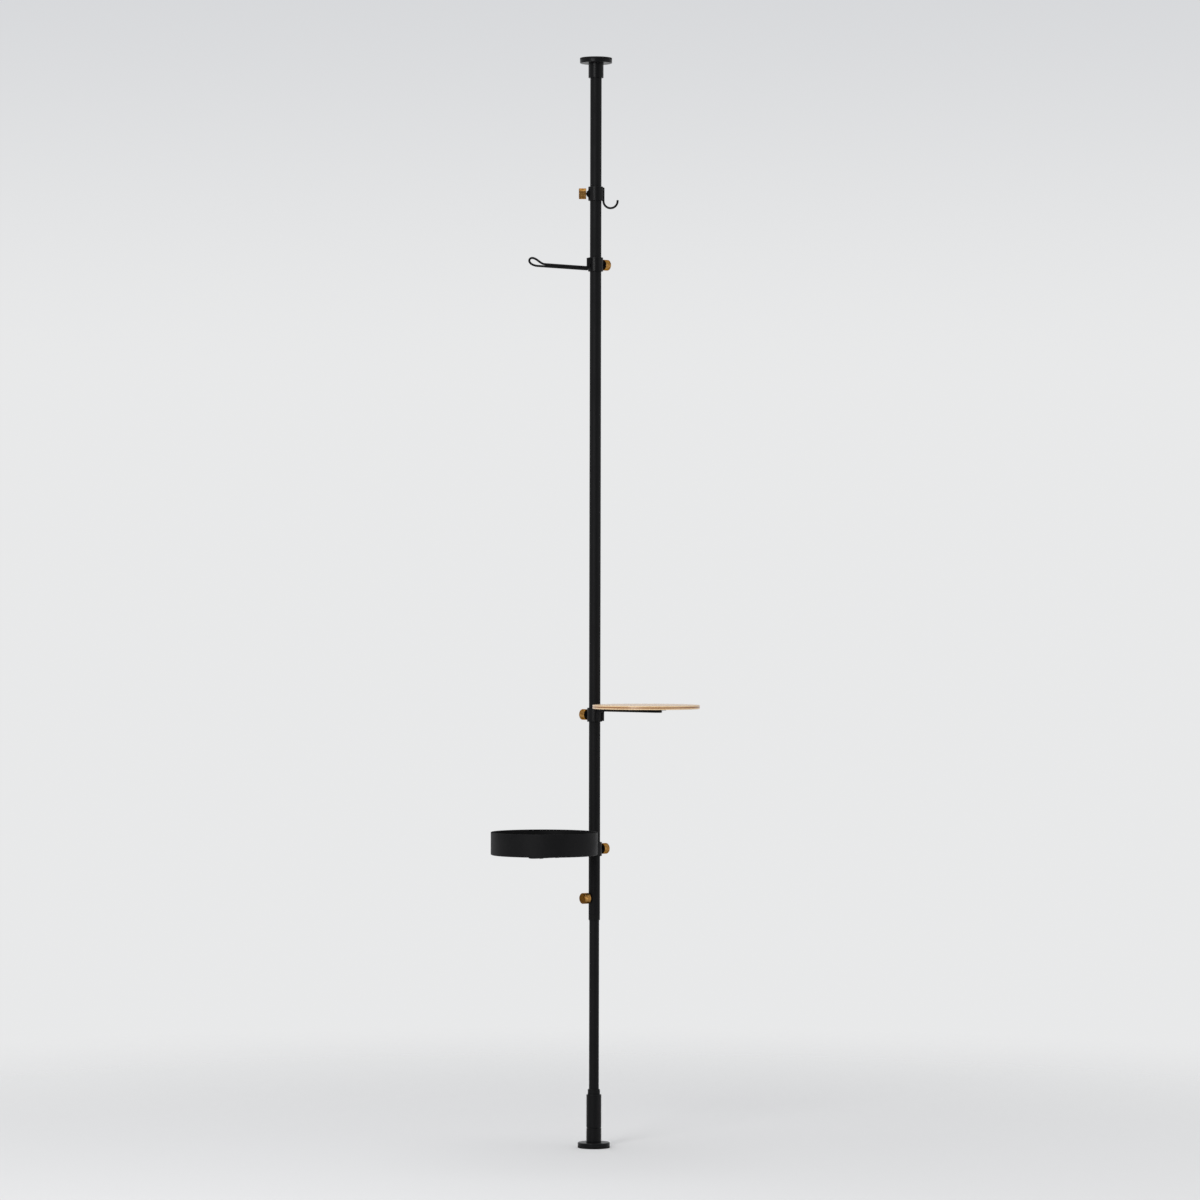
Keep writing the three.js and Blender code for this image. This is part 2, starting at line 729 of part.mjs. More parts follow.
// The two runs turn up along the collar, one leg outside the other, on one bend centre.
function armWire() {
  const spacing = WIRE_DIAMETER + ARM_RUN_GAP;
  const innerLeg = collarRadius + GAP + wireRadius;
  const outerLeg = innerLeg + spacing;
  const upperRun = spacing / 2 - ARM_RUN_DROP;
  const lowerRun = upperRun - spacing;
  const legTop = COLLAR_HEIGHT / 2 - LEG_INSET;
  const tip = ARM_REACH - wireRadius;
  const at = (reach, height) => new THREE.Vector3(reach, 0, height);
  const QUARTER_PULL = 0.55; // pulls of this share make a quarter of an ellipse
  const EASE_PULL = 0.38;
  const crestRun = EYE_LENGTH - EYE_CREST_SETBACK;
  const crest = at(tip - EYE_CREST_SETBACK, upperRun + EYE_CREST_RISE);
  const nose = at(tip, lowerRun + EYE_TIP_RISE);
  const sole = at(tip - EYE_SOLE_LENGTH, lowerRun);
  const noseDrop = crest.z - nose.z;

  const wire = new BentWire(at(outerLeg, legTop), DOWN);
  wire.feed(legTop - upperRun - ARM_BEND_RADIUS);
  wire.bend(AWAY, ARM_BEND_RADIUS, QUARTER_TURN);
  wire.feed(tip - EYE_LENGTH - outerLeg - ARM_BEND_RADIUS);
  wire.sweepTo(crest, AWAY, EASE_PULL * crestRun, EASE_PULL * crestRun);
  wire.sweepTo(nose, DOWN, QUARTER_PULL * EYE_CREST_SETBACK, QUARTER_PULL * noseDrop);
  wire.sweepTo(sole, BACK, QUARTER_PULL * EYE_TIP_RISE, QUARTER_PULL * EYE_SOLE_LENGTH);
  wire.feed(sole.x - innerLeg - ARM_BEND_RADIUS - spacing);
  wire.bend(UP, ARM_BEND_RADIUS + spacing, QUARTER_TURN);
  wire.feed(legTop - lowerRun - ARM_BEND_RADIUS - spacing);
  return wire;
}

function arm() {
  const parts = [
    collarSet("arm"),
    piece("arm_wire", armWire().geometry(), BLACK_COAT),
  ];
  return accessory(armHeight, ARM_ANGLE, parts);
}

// ---------------------------------------------------------------- bracket

// A flat loop whose two ends turn down beside the collar. The tray's is the same, turned over.
function bracketWire(reach, runOffset) {
  const side = BRACKET_SPACING / 2;
  const legFromAxis = collarRadius + GAP + wireRadius;
  const leg = Math.sqrt(legFromAxis * legFromAxis - side * side);
  const legEnd = LEG_INSET - COLLAR_HEIGHT / 2;
  const legLength = runOffset - legEnd - BRACKET_BEND_RADIUS;
  const runLength = reach - wireRadius - side - leg - BRACKET_BEND_RADIUS;
  return new BentWire(new THREE.Vector3(leg, -side, legEnd), UP)
    .feed(legLength)
    .bend(AWAY, BRACKET_BEND_RADIUS, QUARTER_TURN)
    .feed(runLength)
    .bend(SIDE, side, HALF_TURN)
    .feed(runLength)
    .bend(DOWN, BRACKET_BEND_RADIUS, QUARTER_TURN)
    .feed(legLength);
}

// Where the three screws stand in the plate, from the plate's middle.
function plateScrewPlaces() {
  const along = PLATE_LENGTH / 2 - PLATE_SCREW_INSET_LONG;
  const across = PLATE_WIDTH / 2 - PLATE_SCREW_INSET_WIDE;
  return [
    [along, 0],
    [-along, across],
    [-along, -across],
  ];
}

function bracketPlate(name, screwDiameter, thickness, middle, base) {
  const along = PLATE_LENGTH / 2;
  const across = PLATE_WIDTH / 2;
  const corner = PLATE_CORNER_RADIUS;
  const shape = new THREE.Shape();
  shape.absarc(along - corner, across - corner, corner, 0, QUARTER_TURN);
  shape.absarc(corner - along, across - corner, corner, QUARTER_TURN, HALF_TURN);
  shape.absarc(corner - along, corner - across, corner, HALF_TURN, 3 * QUARTER_TURN);
  shape.absarc(along - corner, corner - across, corner, 3 * QUARTER_TURN, 4 * QUARTER_TURN);
  for (const [x, y] of plateScrewPlaces()) {
    const hole = new THREE.Path();
    hole.absarc(x, y, screwDiameter / 2 + GAP, 0, 2 * Math.PI);
    shape.holes.push(hole);
  }
  const options = {
    depth: thickness,
    bevelEnabled: false,
    curveSegments: PLATE_ARC_STEPS,
  };
  const geometry = new THREE.ExtrudeGeometry(shape, options);
  const mesh = piece(name, geometry, BLACK_COAT);
  mesh.position.set(middle, 0, base);
  return mesh;
}

// A round-headed screw whose head sits at the origin, its shank along +Z.
function plateScrew(name, headDiameter, headHeight, diameter, shank) {
  const head = headDiameter / 2;
  const profile = [
    [0, -headHeight],
    [head * SCREW_CROWN_SHARE, -headHeight],
    [head, -headHeight * SCREW_RIM_SHARE],
    [head, 0],
    [diameter / 2, 0],
    [diameter / 2, shank],
    [0, shank],
  ];
  return piece(name, turned(profile, SCREW_FACES), BLACK_STEEL);
}

// ---------------------------------------------------------------- shelf

function shelf() {
  const plateBase = SHELF_RUN_RISE + wireRadius + GAP;
  const discBase = plateBase + SHELF_PLATE_THICKNESS + GAP;
  const discTop = discBase + SHELF_THICKNESS;
  const radius = SHELF_DIAMETER / 2;
  const disc = turned(
    [
      [0, discBase],
      [radius - SHELF_EDGE_CHAMFER, discBase],
      [radius, discBase + SHELF_EDGE_CHAMFER],
      [radius, discTop - SHELF_EDGE_CHAMFER],
      [radius - SHELF_EDGE_CHAMFER, discTop],
      [0, discTop],
    ],
    DISC_FACES,
  ).translate(shelfReach, 0, 0);

  const shank = GAP + SHELF_PLATE_THICKNESS + GAP + SHELF_SCREW_BITE;
  const holes = [];
  const screws = [];
  plateScrewPlaces().forEach(([x, y], index) => {
    const holeRadius = SHELF_SCREW_DIAMETER / 2 + GAP;
    const hole = rod(holeRadius, plateBase, discBase + SHELF_SCREW_BITE + GAP, SCREW_FACES);
    holes.push(hole.translate(shelfReach + x, y, 0));
    const screw = plateScrew(
      `shelf_screw_${index + 1}`,
      SHELF_SCREW_HEAD_DIAMETER,
      SHELF_SCREW_HEAD_HEIGHT,
      SHELF_SCREW_DIAMETER,
      shank,
    );
    screw.position.set(shelfReach + x, y, plateBase - GAP);
    screws.push(screw);
  });

  const loop = bracketWire(shelfReach + BRACKET_PAST_CENTRE, SHELF_RUN_RISE);
  const parts = [
    collarSet("shelf"),
    piece("shelf_bracket", loop.geometry(), BLACK_COAT),
    bracketPlate(
      "shelf_plate",
      SHELF_SCREW_DIAMETER,
      SHELF_PLATE_THICKNESS,
      shelfReach,
      plateBase,
    ),
    piece("shelf_disc", cut(disc, holes), PLYWOOD),
    ...screws,
  ];
  return accessory(shelfHeight, SHELF_ANGLE, parts);
}

// ---------------------------------------------------------------- tray

// A quarter round from pointing down to pointing out, about the corner's centre.
function roundedCorner(centreRadius, centreHeight, radius) {
  const corners = [];
  for (let step = 0; step <= TRAY_CORNER_STEPS; step += 1) {
    const angle = (QUARTER_TURN * step) / TRAY_CORNER_STEPS;
    const out = centreRadius + radius * Math.sin(angle);
    const down = centreHeight - radius * Math.cos(angle);
    corners.push([out, down]);
  }
  return corners;
}

function tray() {
  const plateBase = wireRadius + GAP - TRAY_RUN_DROP;
  const panBase = plateBase + TRAY_PLATE_THICKNESS + GAP;
  const radius = TRAY_DIAMETER / 2;
  const cornerRadius = radius - TRAY_CORNER_RADIUS;
  const cornerHeight = panBase + TRAY_CORNER_RADIUS;
  const inner = TRAY_CORNER_RADIUS - TRAY_SHEET;
  const pan = turned(
    [
      [0, panBase],
      ...roundedCorner(cornerRadius, cornerHeight, TRAY_CORNER_RADIUS),
      [radius, panBase + TRAY_HEIGHT],
      [radius - TRAY_SHEET, panBase + TRAY_HEIGHT],
      ...roundedCorner(cornerRadius, cornerHeight, inner).reverse(),
      [0, panBase + TRAY_SHEET],
    ],
    DISC_FACES,
  ).translate(trayReach, 0, 0);

  const headSeat = panBase + TRAY_SHEET + GAP;
  const holes = [];
  const screws = [];
  plateScrewPlaces().forEach(([x, y], index) => {
    const hole = rod(TRAY_SCREW_DIAMETER / 2 + GAP, plateBase, headSeat, SCREW_FACES);
    holes.push(hole.translate(trayReach + x, y, 0));
    const screw = plateScrew(
      `tray_screw_${index + 1}`,
      TRAY_SCREW_HEAD_DIAMETER,
      TRAY_SCREW_HEAD_HEIGHT,
      TRAY_SCREW_DIAMETER,
      TRAY_SCREW_SHANK,
    );
    screw.position.set(trayReach + x, y, headSeat);
    screw.rotation.x = HALF_TURN;
    screws.push(screw);
  });

  const loop = piece(
    "tray_bracket",
    bracketWire(trayReach + BRACKET_PAST_CENTRE, TRAY_RUN_DROP).geometry(),
    BLACK_COAT,
  );
  loop.rotation.x = HALF_TURN;
  const parts = [
    collarSet("tray"),
    loop,
    bracketPlate("tray_plate", TRAY_SCREW_DIAMETER, TRAY_PLATE_THICKNESS, trayReach, plateBase),
    piece("tray_pan", cut(pan, holes), BLACK_COAT),
    ...screws,
  ];
  return accessory(trayHeight, TRAY_ANGLE, parts);
}

// ---------------------------------------------------------------- the whole pole

const plantPole = new THREE.Group();
plantPole.add(footEnd());
plantPole.add(screwJack());
plantPole.add(lowerPole());
plantPole.add(mainPole());
plantPole.add(ceilingEnd());
plantPole.add(hook());
plantPole.add(arm());
plantPole.add(shelf());
plantPole.add(tray());

export default plantPole;
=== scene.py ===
# %% [markdown]
# # A floor-to-ceiling plant pole
#
# A black tension pole stands between floor and ceiling. Brass thumb knobs clamp four things to it: a
# hook, a hanging arm, a round plywood shelf and a round steel tray. The frame holds every piece at its
# real size and place, but with few flat faces. Here each piece that shows is made again as a fine mesh
# with eased edges, and gets a finish built from nodes. Lengths are metres and +Z is up.

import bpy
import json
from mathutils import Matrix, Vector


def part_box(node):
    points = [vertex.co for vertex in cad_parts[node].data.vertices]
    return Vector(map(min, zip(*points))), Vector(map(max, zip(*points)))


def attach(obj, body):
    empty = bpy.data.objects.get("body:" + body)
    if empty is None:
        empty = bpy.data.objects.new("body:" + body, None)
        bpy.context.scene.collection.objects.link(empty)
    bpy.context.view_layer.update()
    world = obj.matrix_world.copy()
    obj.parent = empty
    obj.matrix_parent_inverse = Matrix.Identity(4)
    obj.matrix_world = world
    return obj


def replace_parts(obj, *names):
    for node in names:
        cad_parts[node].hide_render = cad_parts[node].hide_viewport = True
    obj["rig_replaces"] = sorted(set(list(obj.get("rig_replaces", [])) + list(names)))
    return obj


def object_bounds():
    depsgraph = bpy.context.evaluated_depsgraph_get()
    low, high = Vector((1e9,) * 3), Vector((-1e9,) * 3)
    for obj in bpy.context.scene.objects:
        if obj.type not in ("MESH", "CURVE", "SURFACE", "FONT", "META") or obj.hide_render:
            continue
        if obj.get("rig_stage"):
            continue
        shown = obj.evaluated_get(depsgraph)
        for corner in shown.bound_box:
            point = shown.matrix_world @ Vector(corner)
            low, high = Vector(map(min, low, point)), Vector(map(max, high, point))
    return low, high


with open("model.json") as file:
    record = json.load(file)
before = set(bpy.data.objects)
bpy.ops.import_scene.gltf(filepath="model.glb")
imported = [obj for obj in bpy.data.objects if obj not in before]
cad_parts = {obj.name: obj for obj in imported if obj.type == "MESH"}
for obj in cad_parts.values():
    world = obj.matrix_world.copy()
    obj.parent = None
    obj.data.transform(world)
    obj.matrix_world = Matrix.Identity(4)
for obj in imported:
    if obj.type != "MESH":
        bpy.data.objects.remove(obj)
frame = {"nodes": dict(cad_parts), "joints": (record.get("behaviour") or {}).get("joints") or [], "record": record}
cad_low, cad_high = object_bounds()

# %% Libraries
import json
import math

import bmesh
import bpy
from mathutils import Matrix, Vector

scene = bpy.context.scene


def mm(length):
    """A length written in millimetres, in metres."""
    return length / 1000


def span(name):
    """An upright round node's lowest and highest points and its radius."""
    low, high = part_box(name)
    return low.z, high.z, (high.x - low.x) / 2


# %% [markdown]
# ## Camera
#
# The whole pole fits a square picture from almost eleven metres away, so its sides stay parallel and
# the flanges at both ends are seen just from the inside. A long lens does that. The camera is level, at
# half the pole's height, and needs no shift. Its picture leans by a tenth of a degree, as one that was
# levelled by hand does.

# %% Camera
SENSOR_WIDTH = 36  # mm, across the square picture
LENS = 141  # mm
CAMERA_PLACE = Vector((0.0119, -10.98, 1.279))
CAMERA_TILT = math.radians(-0.12)  # the picture leans a little to the right

camera_data = bpy.data.cameras.new("picture_camera")
camera_data.sensor_width = SENSOR_WIDTH
camera_data.lens = LENS
camera = bpy.data.objects.new("picture_camera", camera_data)
camera.location = CAMERA_PLACE
camera.rotation_euler = (math.radians(90), CAMERA_TILT, 0)
scene.collection.objects.link(camera)
scene.camera = camera
scene.view_settings.view_transform = "Standard"
print("camera at", tuple(round(v, 3) for v in camera.location))


# %% [markdown]
# ## Node helpers
#
# Every finish is a small graph of nodes. The first two helpers fill a socket, with a number or with a
# link, and add a node. Those after them each add one kind of node, and give back the socket that the
# graph goes on from. The last three open a node group, send values out of it and place it in a material.

# %% Helpers for nodes
def fill(tree, socket, value):
    """Gives a socket a plain value, or a link from another socket."""
    if isinstance(value, bpy.types.NodeSocket):
        tree.links.new(value, socket)
    else:
        socket.default_value = value


def node(tree, kind, inputs=None, **settings):
    """Adds a node, with its settings and its inputs."""
    made = tree.nodes.new(kind)
    for name, value in settings.items():
        setattr(made, name, value)
    for name, value in (inputs or {}).items():
        fill(tree, made.inputs[name], value)
    return made


def math_node(tree, operation, *values, clamp=False):
    """A Math node's result."""
    inputs = dict(enumerate(values))
    return node(tree, "ShaderNodeMath", inputs, operation=operation, use_clamp=clamp).outputs[0]


def mix_colour(tree, factor, first, second):
    """A colour between two others."""
    inputs = {"Factor": factor, "A": first, "B": second}
    made = node(tree, "ShaderNodeMix", data_type="RGBA")
    for socket in made.inputs:
        if socket.name in inputs and socket.enabled:
            fill(tree, socket, inputs[socket.name])
    return next(socket for socket in made.outputs if socket.enabled)


def noise(tree, place, per_metre, detail, **more):
    """Soft clouds of a value from 0 to 1."""
    inputs = {"Vector": place, "Scale": per_metre, "Detail": detail, **more}
    return node(tree, "ShaderNodeTexNoise", inputs).outputs["Fac"]


def line_noise(tree, place, detail):
    """The same along a line, with one cloud in each unit."""
    inputs = {"W": place, "Scale": 1.0, "Detail": detail}
    return node(tree, "ShaderNodeTexNoise", inputs, noise_dimensions="1D").outputs["Fac"]


def spread(tree, value, start, end, low=0.0, high=1.0, smooth=False):
    """Carries a value from one pair of limits to another."""
    inputs = {"Value": value, "From Min": start, "From Max": end, "To Min": low, "To Max": high}
    kind = "SMOOTHSTEP" if smooth else "LINEAR"
    return node(tree, "ShaderNodeMapRange", inputs, interpolation_type=kind).outputs["Result"]


def vary(tree, value, low, high):
    """Spreads a 0 to 1 value between two limits."""
    return spread(tree, value, 0.0, 1.0, low, high)


def part_of(tree, vector, axis):
    """One part of a vector."""
    return node(tree, "ShaderNodeSeparateXYZ", {"Vector": vector}).outputs[axis]


def object_place(tree):
    """Where the point is, in its object's own frame."""
    return node(tree, "ShaderNodeTexCoord").outputs["Object"]


def new_group(name, inputs, outputs):
    """An empty node group, with its input and output nodes. Inputs are (name, default)."""
    tree = bpy.data.node_groups.new(name, "ShaderNodeTree")
    for title, default in inputs:
        socket = tree.interface.new_socket(title, in_out="INPUT", socket_type="NodeSocketFloat")
        socket.default_value = default
    for title in outputs:
        tree.interface.new_socket(title, in_out="OUTPUT", socket_type="NodeSocketFloat")
    return tree, tree.nodes.new("NodeGroupInput").outputs, tree.nodes.new("NodeGroupOutput").inputs


def give(tree, result, **values):
    """Sends values out of a node group."""
    for name, value in values.items():
        tree.links.new(value, result[name])
    return tree


def use_group(tree, group, **inputs):
    """Places a node group in a material. Underscores stand for spaces in socket names."""
    made = node(tree, "ShaderNodeGroup", node_tree=group)
    for name, value in inputs.items():
        fill(tree, made.inputs[name.replace("_", " ")], value)
    return made.outputs


# %% [markdown]
# ## Effects that several finishes share
#
# Powder coat, rubber and moulded plastic all have a fine pebbled skin, which differs only in its scale.
# Every surface also carries faint smudges from hands, and a little dust where it faces up. Turned metal
# has fine rings round its axis: they run along the side and across the end, so they follow the sum of
# the distance from the axis and the distance along it. Wood has fibres, drawn out along its grain. Each
# effect is one group.

# %% Pebbled skin
FINE_TO_COARSE = 3.7  # fine grains to each coarse one
MOTTLE_PER_METRE = 55.0


def make_pebble_group():
    tree, given, result = new_group(
        "pebbled_skin", [("Grains per metre", 900.0), ("Fine share", 0.35)], ["Height", "Mottle"]
    )
    place = object_place(tree)
    grains = given["Grains per metre"]
    coarse = noise(tree, place, grains, 2.0)
    fine = noise(tree, place, math_node(tree, "MULTIPLY", grains, FINE_TO_COARSE), 1.0)
    fine_part = math_node(tree, "MULTIPLY", fine, given["Fine share"])
    height = math_node(tree, "ADD", coarse, fine_part)
    return give(tree, result, Height=height, Mottle=noise(tree, place, MOTTLE_PER_METRE, 3.0))


pebbled_skin = make_pebble_group()
print("group:", pebbled_skin.name)


# %% Smudges and dust
SPECKS_PER_METRE = 420.0


def make_use_group():
    tree, given, result = new_group(
        "signs_of_use", [("Smudges per metre", 16.0), ("Dust", 0.3)], ["Smudge", "Dust"]
    )
    place = object_place(tree)
    cloud = noise(tree, place, given["Smudges per metre"], 5.0)
    smudge = spread(tree, cloud, 0.42, 0.68, smooth=True)
    normal = node(tree, "ShaderNodeNewGeometry").outputs["Normal"]
    level = spread(tree, part_of(tree, normal, "Z"), 0.55, 1.0)
    settled = spread(tree, noise(tree, place, SPECKS_PER_METRE, 4.0), 0.35, 0.75)
    lying = math_node(tree, "MULTIPLY", level, settled)
    dust = math_node(tree, "MULTIPLY", lying, given["Dust"], clamp=True)
    return give(tree, result, Smudge=smudge, Dust=dust)


signs_of_use = make_use_group()
print("group:", signs_of_use.name)


# %% Turning lines
WOBBLES_PER_METRE = 90.0
BROAD_RINGS = 0.13  # broad rings to each fine one


def make_turning_group():
    tree, given, result = new_group(
        "turning_lines",
        [("Lines per metre", 2600.0), ("Wander", 0.0004)],
        ["Height", "Streak", "Radius"],
    )
    place = object_place(tree)
    parts = node(tree, "ShaderNodeSeparateXYZ", {"Vector": place}).outputs
    across = node(tree, "ShaderNodeCombineXYZ", {"X": parts["X"], "Y": parts["Y"]}).outputs[0]
    radius = node(tree, "ShaderNodeVectorMath", {0: across}, operation="LENGTH").outputs["Value"]
    along = math_node(tree, "ADD", radius, parts["Z"])
    wobble = noise(tree, place, WOBBLES_PER_METRE, 1.0)
    track = math_node(tree, "ADD", along, math_node(tree, "MULTIPLY", wobble, given["Wander"]))
    rings = math_node(tree, "MULTIPLY", track, given["Lines per metre"])
    lines = line_noise(tree, rings, 2.0)
    broad = line_noise(tree, math_node(tree, "MULTIPLY", rings, BROAD_RINGS), 1.0)
    streak = math_node(tree, "MULTIPLY_ADD", broad, 0.6, math_node(tree, "MULTIPLY", lines, 0.4))
    return give(tree, result, Height=lines, Streak=streak, Radius=radius)


turning_lines = make_turning_group()
print("group:", turning_lines.name)


# %% Long fibres
FIGURE_TO_FIBRE = 0.035  # bands of figure to each fibre


def make_fibre_group():
    tree, given, result = new_group(
        "long_fibres",
        [("Across per metre", 900.0), ("Stretch", 40.0), ("Turn", 0.0)],
        ["Fibre", "Figure"],
    )
    turn = node(tree, "ShaderNodeCombineXYZ", {"Z": given["Turn"]}).outputs[0]
    turned = node(tree, "ShaderNodeMapping", {"Vector": object_place(tree), "Rotation": turn}).outputs[0]
    squeeze = math_node(tree, "DIVIDE", 1.0, given["Stretch"])
    thin = node(tree, "ShaderNodeCombineXYZ", {"X": squeeze, "Y": 1.0, "Z": 1.0}).outputs[0]
    drawn = node(tree, "ShaderNodeVectorMath", {0: turned, 1: thin}, operation="MULTIPLY").outputs[0]
    fibre = noise(tree, drawn, given["Across per metre"], 3.0)
    bands = math_node(tree, "MULTIPLY", given["Across per metre"], FIGURE_TO_FIBRE)
    return give(tree, result, Fibre=fibre, Figure=noise(tree, drawn, bands, 4.0, Distortion=0.8))


long_fibres = make_fibre_group()
print("group:", long_fibres.name)


# %% [markdown]
# ## Finishes
#
# The steel is powder coated: nearly black, satin, with a pebbled skin that breaks up the highlights.
# The turned pieces (cups, collars and flanges) have a smoother coat than the tubes, so they catch a soft
# streak of light that the tubes don't. Colours here are linear, so these blacks are very small numbers.
# The pads are moulded rubber, and the bushes, liners and knob cores are moulded nylon. Both use the
# pebbled skin again, at their own scale.

# %% Helpers for finishes
DUST_COLOUR = (0.17, 0.165, 0.155, 1)


def new_material(name, metallic=0.0, specular=0.5, **constants):
    """A material with one Principled BSDF, and its tree. Constants go straight to its sockets."""
    material = bpy.data.materials.new(name)
    material.use_nodes = True
    tree = material.node_tree
    shader = tree.nodes["Principled BSDF"]
    shader.inputs["Metallic"].default_value = metallic
    shader.inputs["Specular IOR Level"].default_value = specular
    for socket, value in constants.items():
        shader.inputs[socket.replace("_", " ")].default_value = value
    return material, tree, shader


def add_surface(tree, shader, colour, dust, wear, smooth, rough, height, depth):
    """Dust over a colour, a roughness that follows the wear, and a bump. Depth is in metres."""
    tree.links.new(mix_colour(tree, dust, colour, DUST_COLOUR), shader.inputs["Base Color"])
    tree.links.new(vary(tree, wear, smooth, rough), shader.inputs["Roughness"])
    bump = node(tree, "ShaderNodeBump", {"Height": height, "Distance": depth, "Strength": 1.0})
    tree.links.new(bump.outputs["Normal"], shader.inputs["Normal"])


# %% Powder coat, rubber and nylon
def make_pebbled(name, dark, light, smooth, rough, depth, specular, grains, fine, smudges, dust):
    material, tree, shader = new_material(name, specular=specular)
    skin = use_group(tree, pebbled_skin, Grains_per_metre=grains, Fine_share=fine)
    use = use_group(tree, signs_of_use, Smudges_per_metre=smudges, Dust=dust)
    tint = mix_colour(tree, skin["Mottle"], dark, light)
    add_surface(tree, shader, tint, use["Dust"], use["Smudge"], smooth, rough, skin["Height"], depth)
    return material


COAT_BLACK = ((0.0042, 0.0042, 0.0046, 1), (0.0062, 0.0062, 0.0068, 1))
RUBBER_BLACK = ((0.006, 0.006, 0.006, 1), (0.010, 0.0097, 0.0093, 1))
NYLON_BLACK = ((0.0045, 0.0045, 0.0048, 1), (0.0065, 0.0065, 0.0068, 1))
COAT = {"specular": 0.125, "grains": 850.0, "fine": 0.4, "smudges": 15.0, "dust": 0.10}
MOULDED = {"fine": 0.5, "smudges": 30.0, "dust": 0.16}

matt_coat = make_pebbled("matt_black_coat", *COAT_BLACK, 0.54, 0.62, mm(0.09), **COAT)
satin_coat = make_pebbled("satin_black_coat", *COAT_BLACK, 0.31, 0.39, mm(0.05), **COAT)
moulded_rubber = make_pebbled(
    "moulded_rubber", *RUBBER_BLACK, 0.72, 0.85, mm(0.05), 0.18, grains=1400.0, **MOULDED
)
moulded_nylon = make_pebbled(
    "moulded_nylon", *NYLON_BLACK, 0.5, 0.62, mm(0.02), 0.12, grains=1900.0, **MOULDED
)
pebbled_finishes = matt_coat, satin_coat, moulded_rubber, moulded_nylon
print("finishes:", ", ".join(finish.name for finish in pebbled_finishes))

# %% [markdown]
# The knobs are turned brass. Hands have browned it in patches. Its two edges and rings over its end are
# painted darker still: partly as tarnish, partly as painted shade for the dim room that they reflect.

# %% Turned brass
BRIGHT_BRASS, DEEP_BRASS = (0.74, 0.44, 0.14, 1), (0.25, 0.11, 0.026, 1)
# The second colour here is partly tarnish and partly painted shade, for the dim room that the knobs' edges and
# ends reflect.
BROWNED_BRASS, TARNISH_AND_SHADE = (0.17, 0.068, 0.016, 1), (0.085, 0.036, 0.010, 1)
BRASS_GLANCE = (0.62, 0.38, 0.15, 1)  # its colour at a glancing angle

knob_low, knob_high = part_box("hook_knob")
knob_length = knob_high.x - knob_low.x
knob_radius = (knob_high.z - knob_low.z) / 2


def knob_tarnish_and_shade(tree, lines):
    """Where a knob is painted darker, partly tarnish and partly painted shade: its two edges and rings over its
    end.
    """
    along = part_of(tree, object_place(tree), "Z")
    front = spread(tree, along, knob_length - mm(1.9), knob_length - mm(0.9), smooth=True)
    back = spread(tree, along, mm(1.1), mm(0.3), smooth=True)
    outside = spread(tree, lines["Radius"], knob_radius - mm(2.4), knob_radius - mm(1.6), smooth=True)
    face = spread(tree, along, knob_length - mm(0.8), knob_length - mm(0.6), smooth=True)
    end = math_node(tree, "SUBTRACT", face, outside)
    rings = math_node(tree, "MULTIPLY_ADD", lines["Streak"], 2.4, -0.85)
    on_end = math_node(tree, "MULTIPLY", end, rings)
    on_edges = math_node(tree, "MULTIPLY", math_node(tree, "MAXIMUM", front, back), 0.8)
    return math_node(tree, "MAXIMUM", on_edges, on_end, clamp=True)


def make_brass():
    material, tree, shader = new_material(
        "turned_brass", metallic=1.0, Anisotropic=0.5, Specular_Tint=BRASS_GLANCE
    )
    lines = use_group(tree, turning_lines, Lines_per_metre=5200.0, Wander=mm(0.25))
    use = use_group(tree, signs_of_use, Smudges_per_metre=190.0, Dust=0.08)
    turned = mix_colour(tree, vary(tree, lines["Streak"], -0.45, 1.25), DEEP_BRASS, BRIGHT_BRASS)
    handled = math_node(tree, "MULTIPLY", use["Smudge"], 0.72)
    worn = mix_colour(tree, handled, turned, BROWNED_BRASS)
    # Painted shade as well as tarnish: the knob's edges and the rings over its end are darkened.
    tarnished_and_shaded = mix_colour(tree, knob_tarnish_and_shade(tree, lines), worn, TARNISH_AND_SHADE)
    axis = node(tree, "ShaderNodeTangent", direction_type="RADIAL", axis="Z")
    tree.links.new(axis.outputs["Tangent"], shader.inputs["Tangent"])
    add_surface(
        tree, shader, tarnished_and_shaded, use["Dust"], use["Smudge"], 0.25, 0.40, lines["Height"], mm(0.03)
    )
    return material


turned_brass = make_brass()
print("finish:", turned_brass.name)

# %% [markdown]
# The shelf is nine-millimetre plywood under a matt lacquer. Its faces show long, faint figure and fine
# fibres. Its edge shows three plies: pale ones above and below with the grain running along the edge,
# and a browner cross ply with open end grain between them, parted by thin glue lines. The disc is
# modelled with its underside at its own zero height, so the distance up from there picks the ply.

# %% Plywood
PLY_COUNT = 3
PALE_PLY, CROSS_PLY = (0.93, 0.67, 0.385, 1), (0.36, 0.15, 0.055, 1)
PORE, GLUE = (0.28, 0.15, 0.07, 1), (0.16, 0.085, 0.045, 1)
PALE_FACE, WARM_FACE, BROWN_FIBRE = (0.86, 0.67, 0.47, 1), (0.76, 0.54, 0.34, 1), (0.54, 0.34, 0.19, 1)
GLUE_LINE = 0.03  # half its width, as a share of a ply
EDGE_GRAINS_PER_METRE = 1100.0
shelf_base, shelf_top, disc_radius = span("shelf_disc")
SHELF_THICKNESS = shelf_top - shelf_base


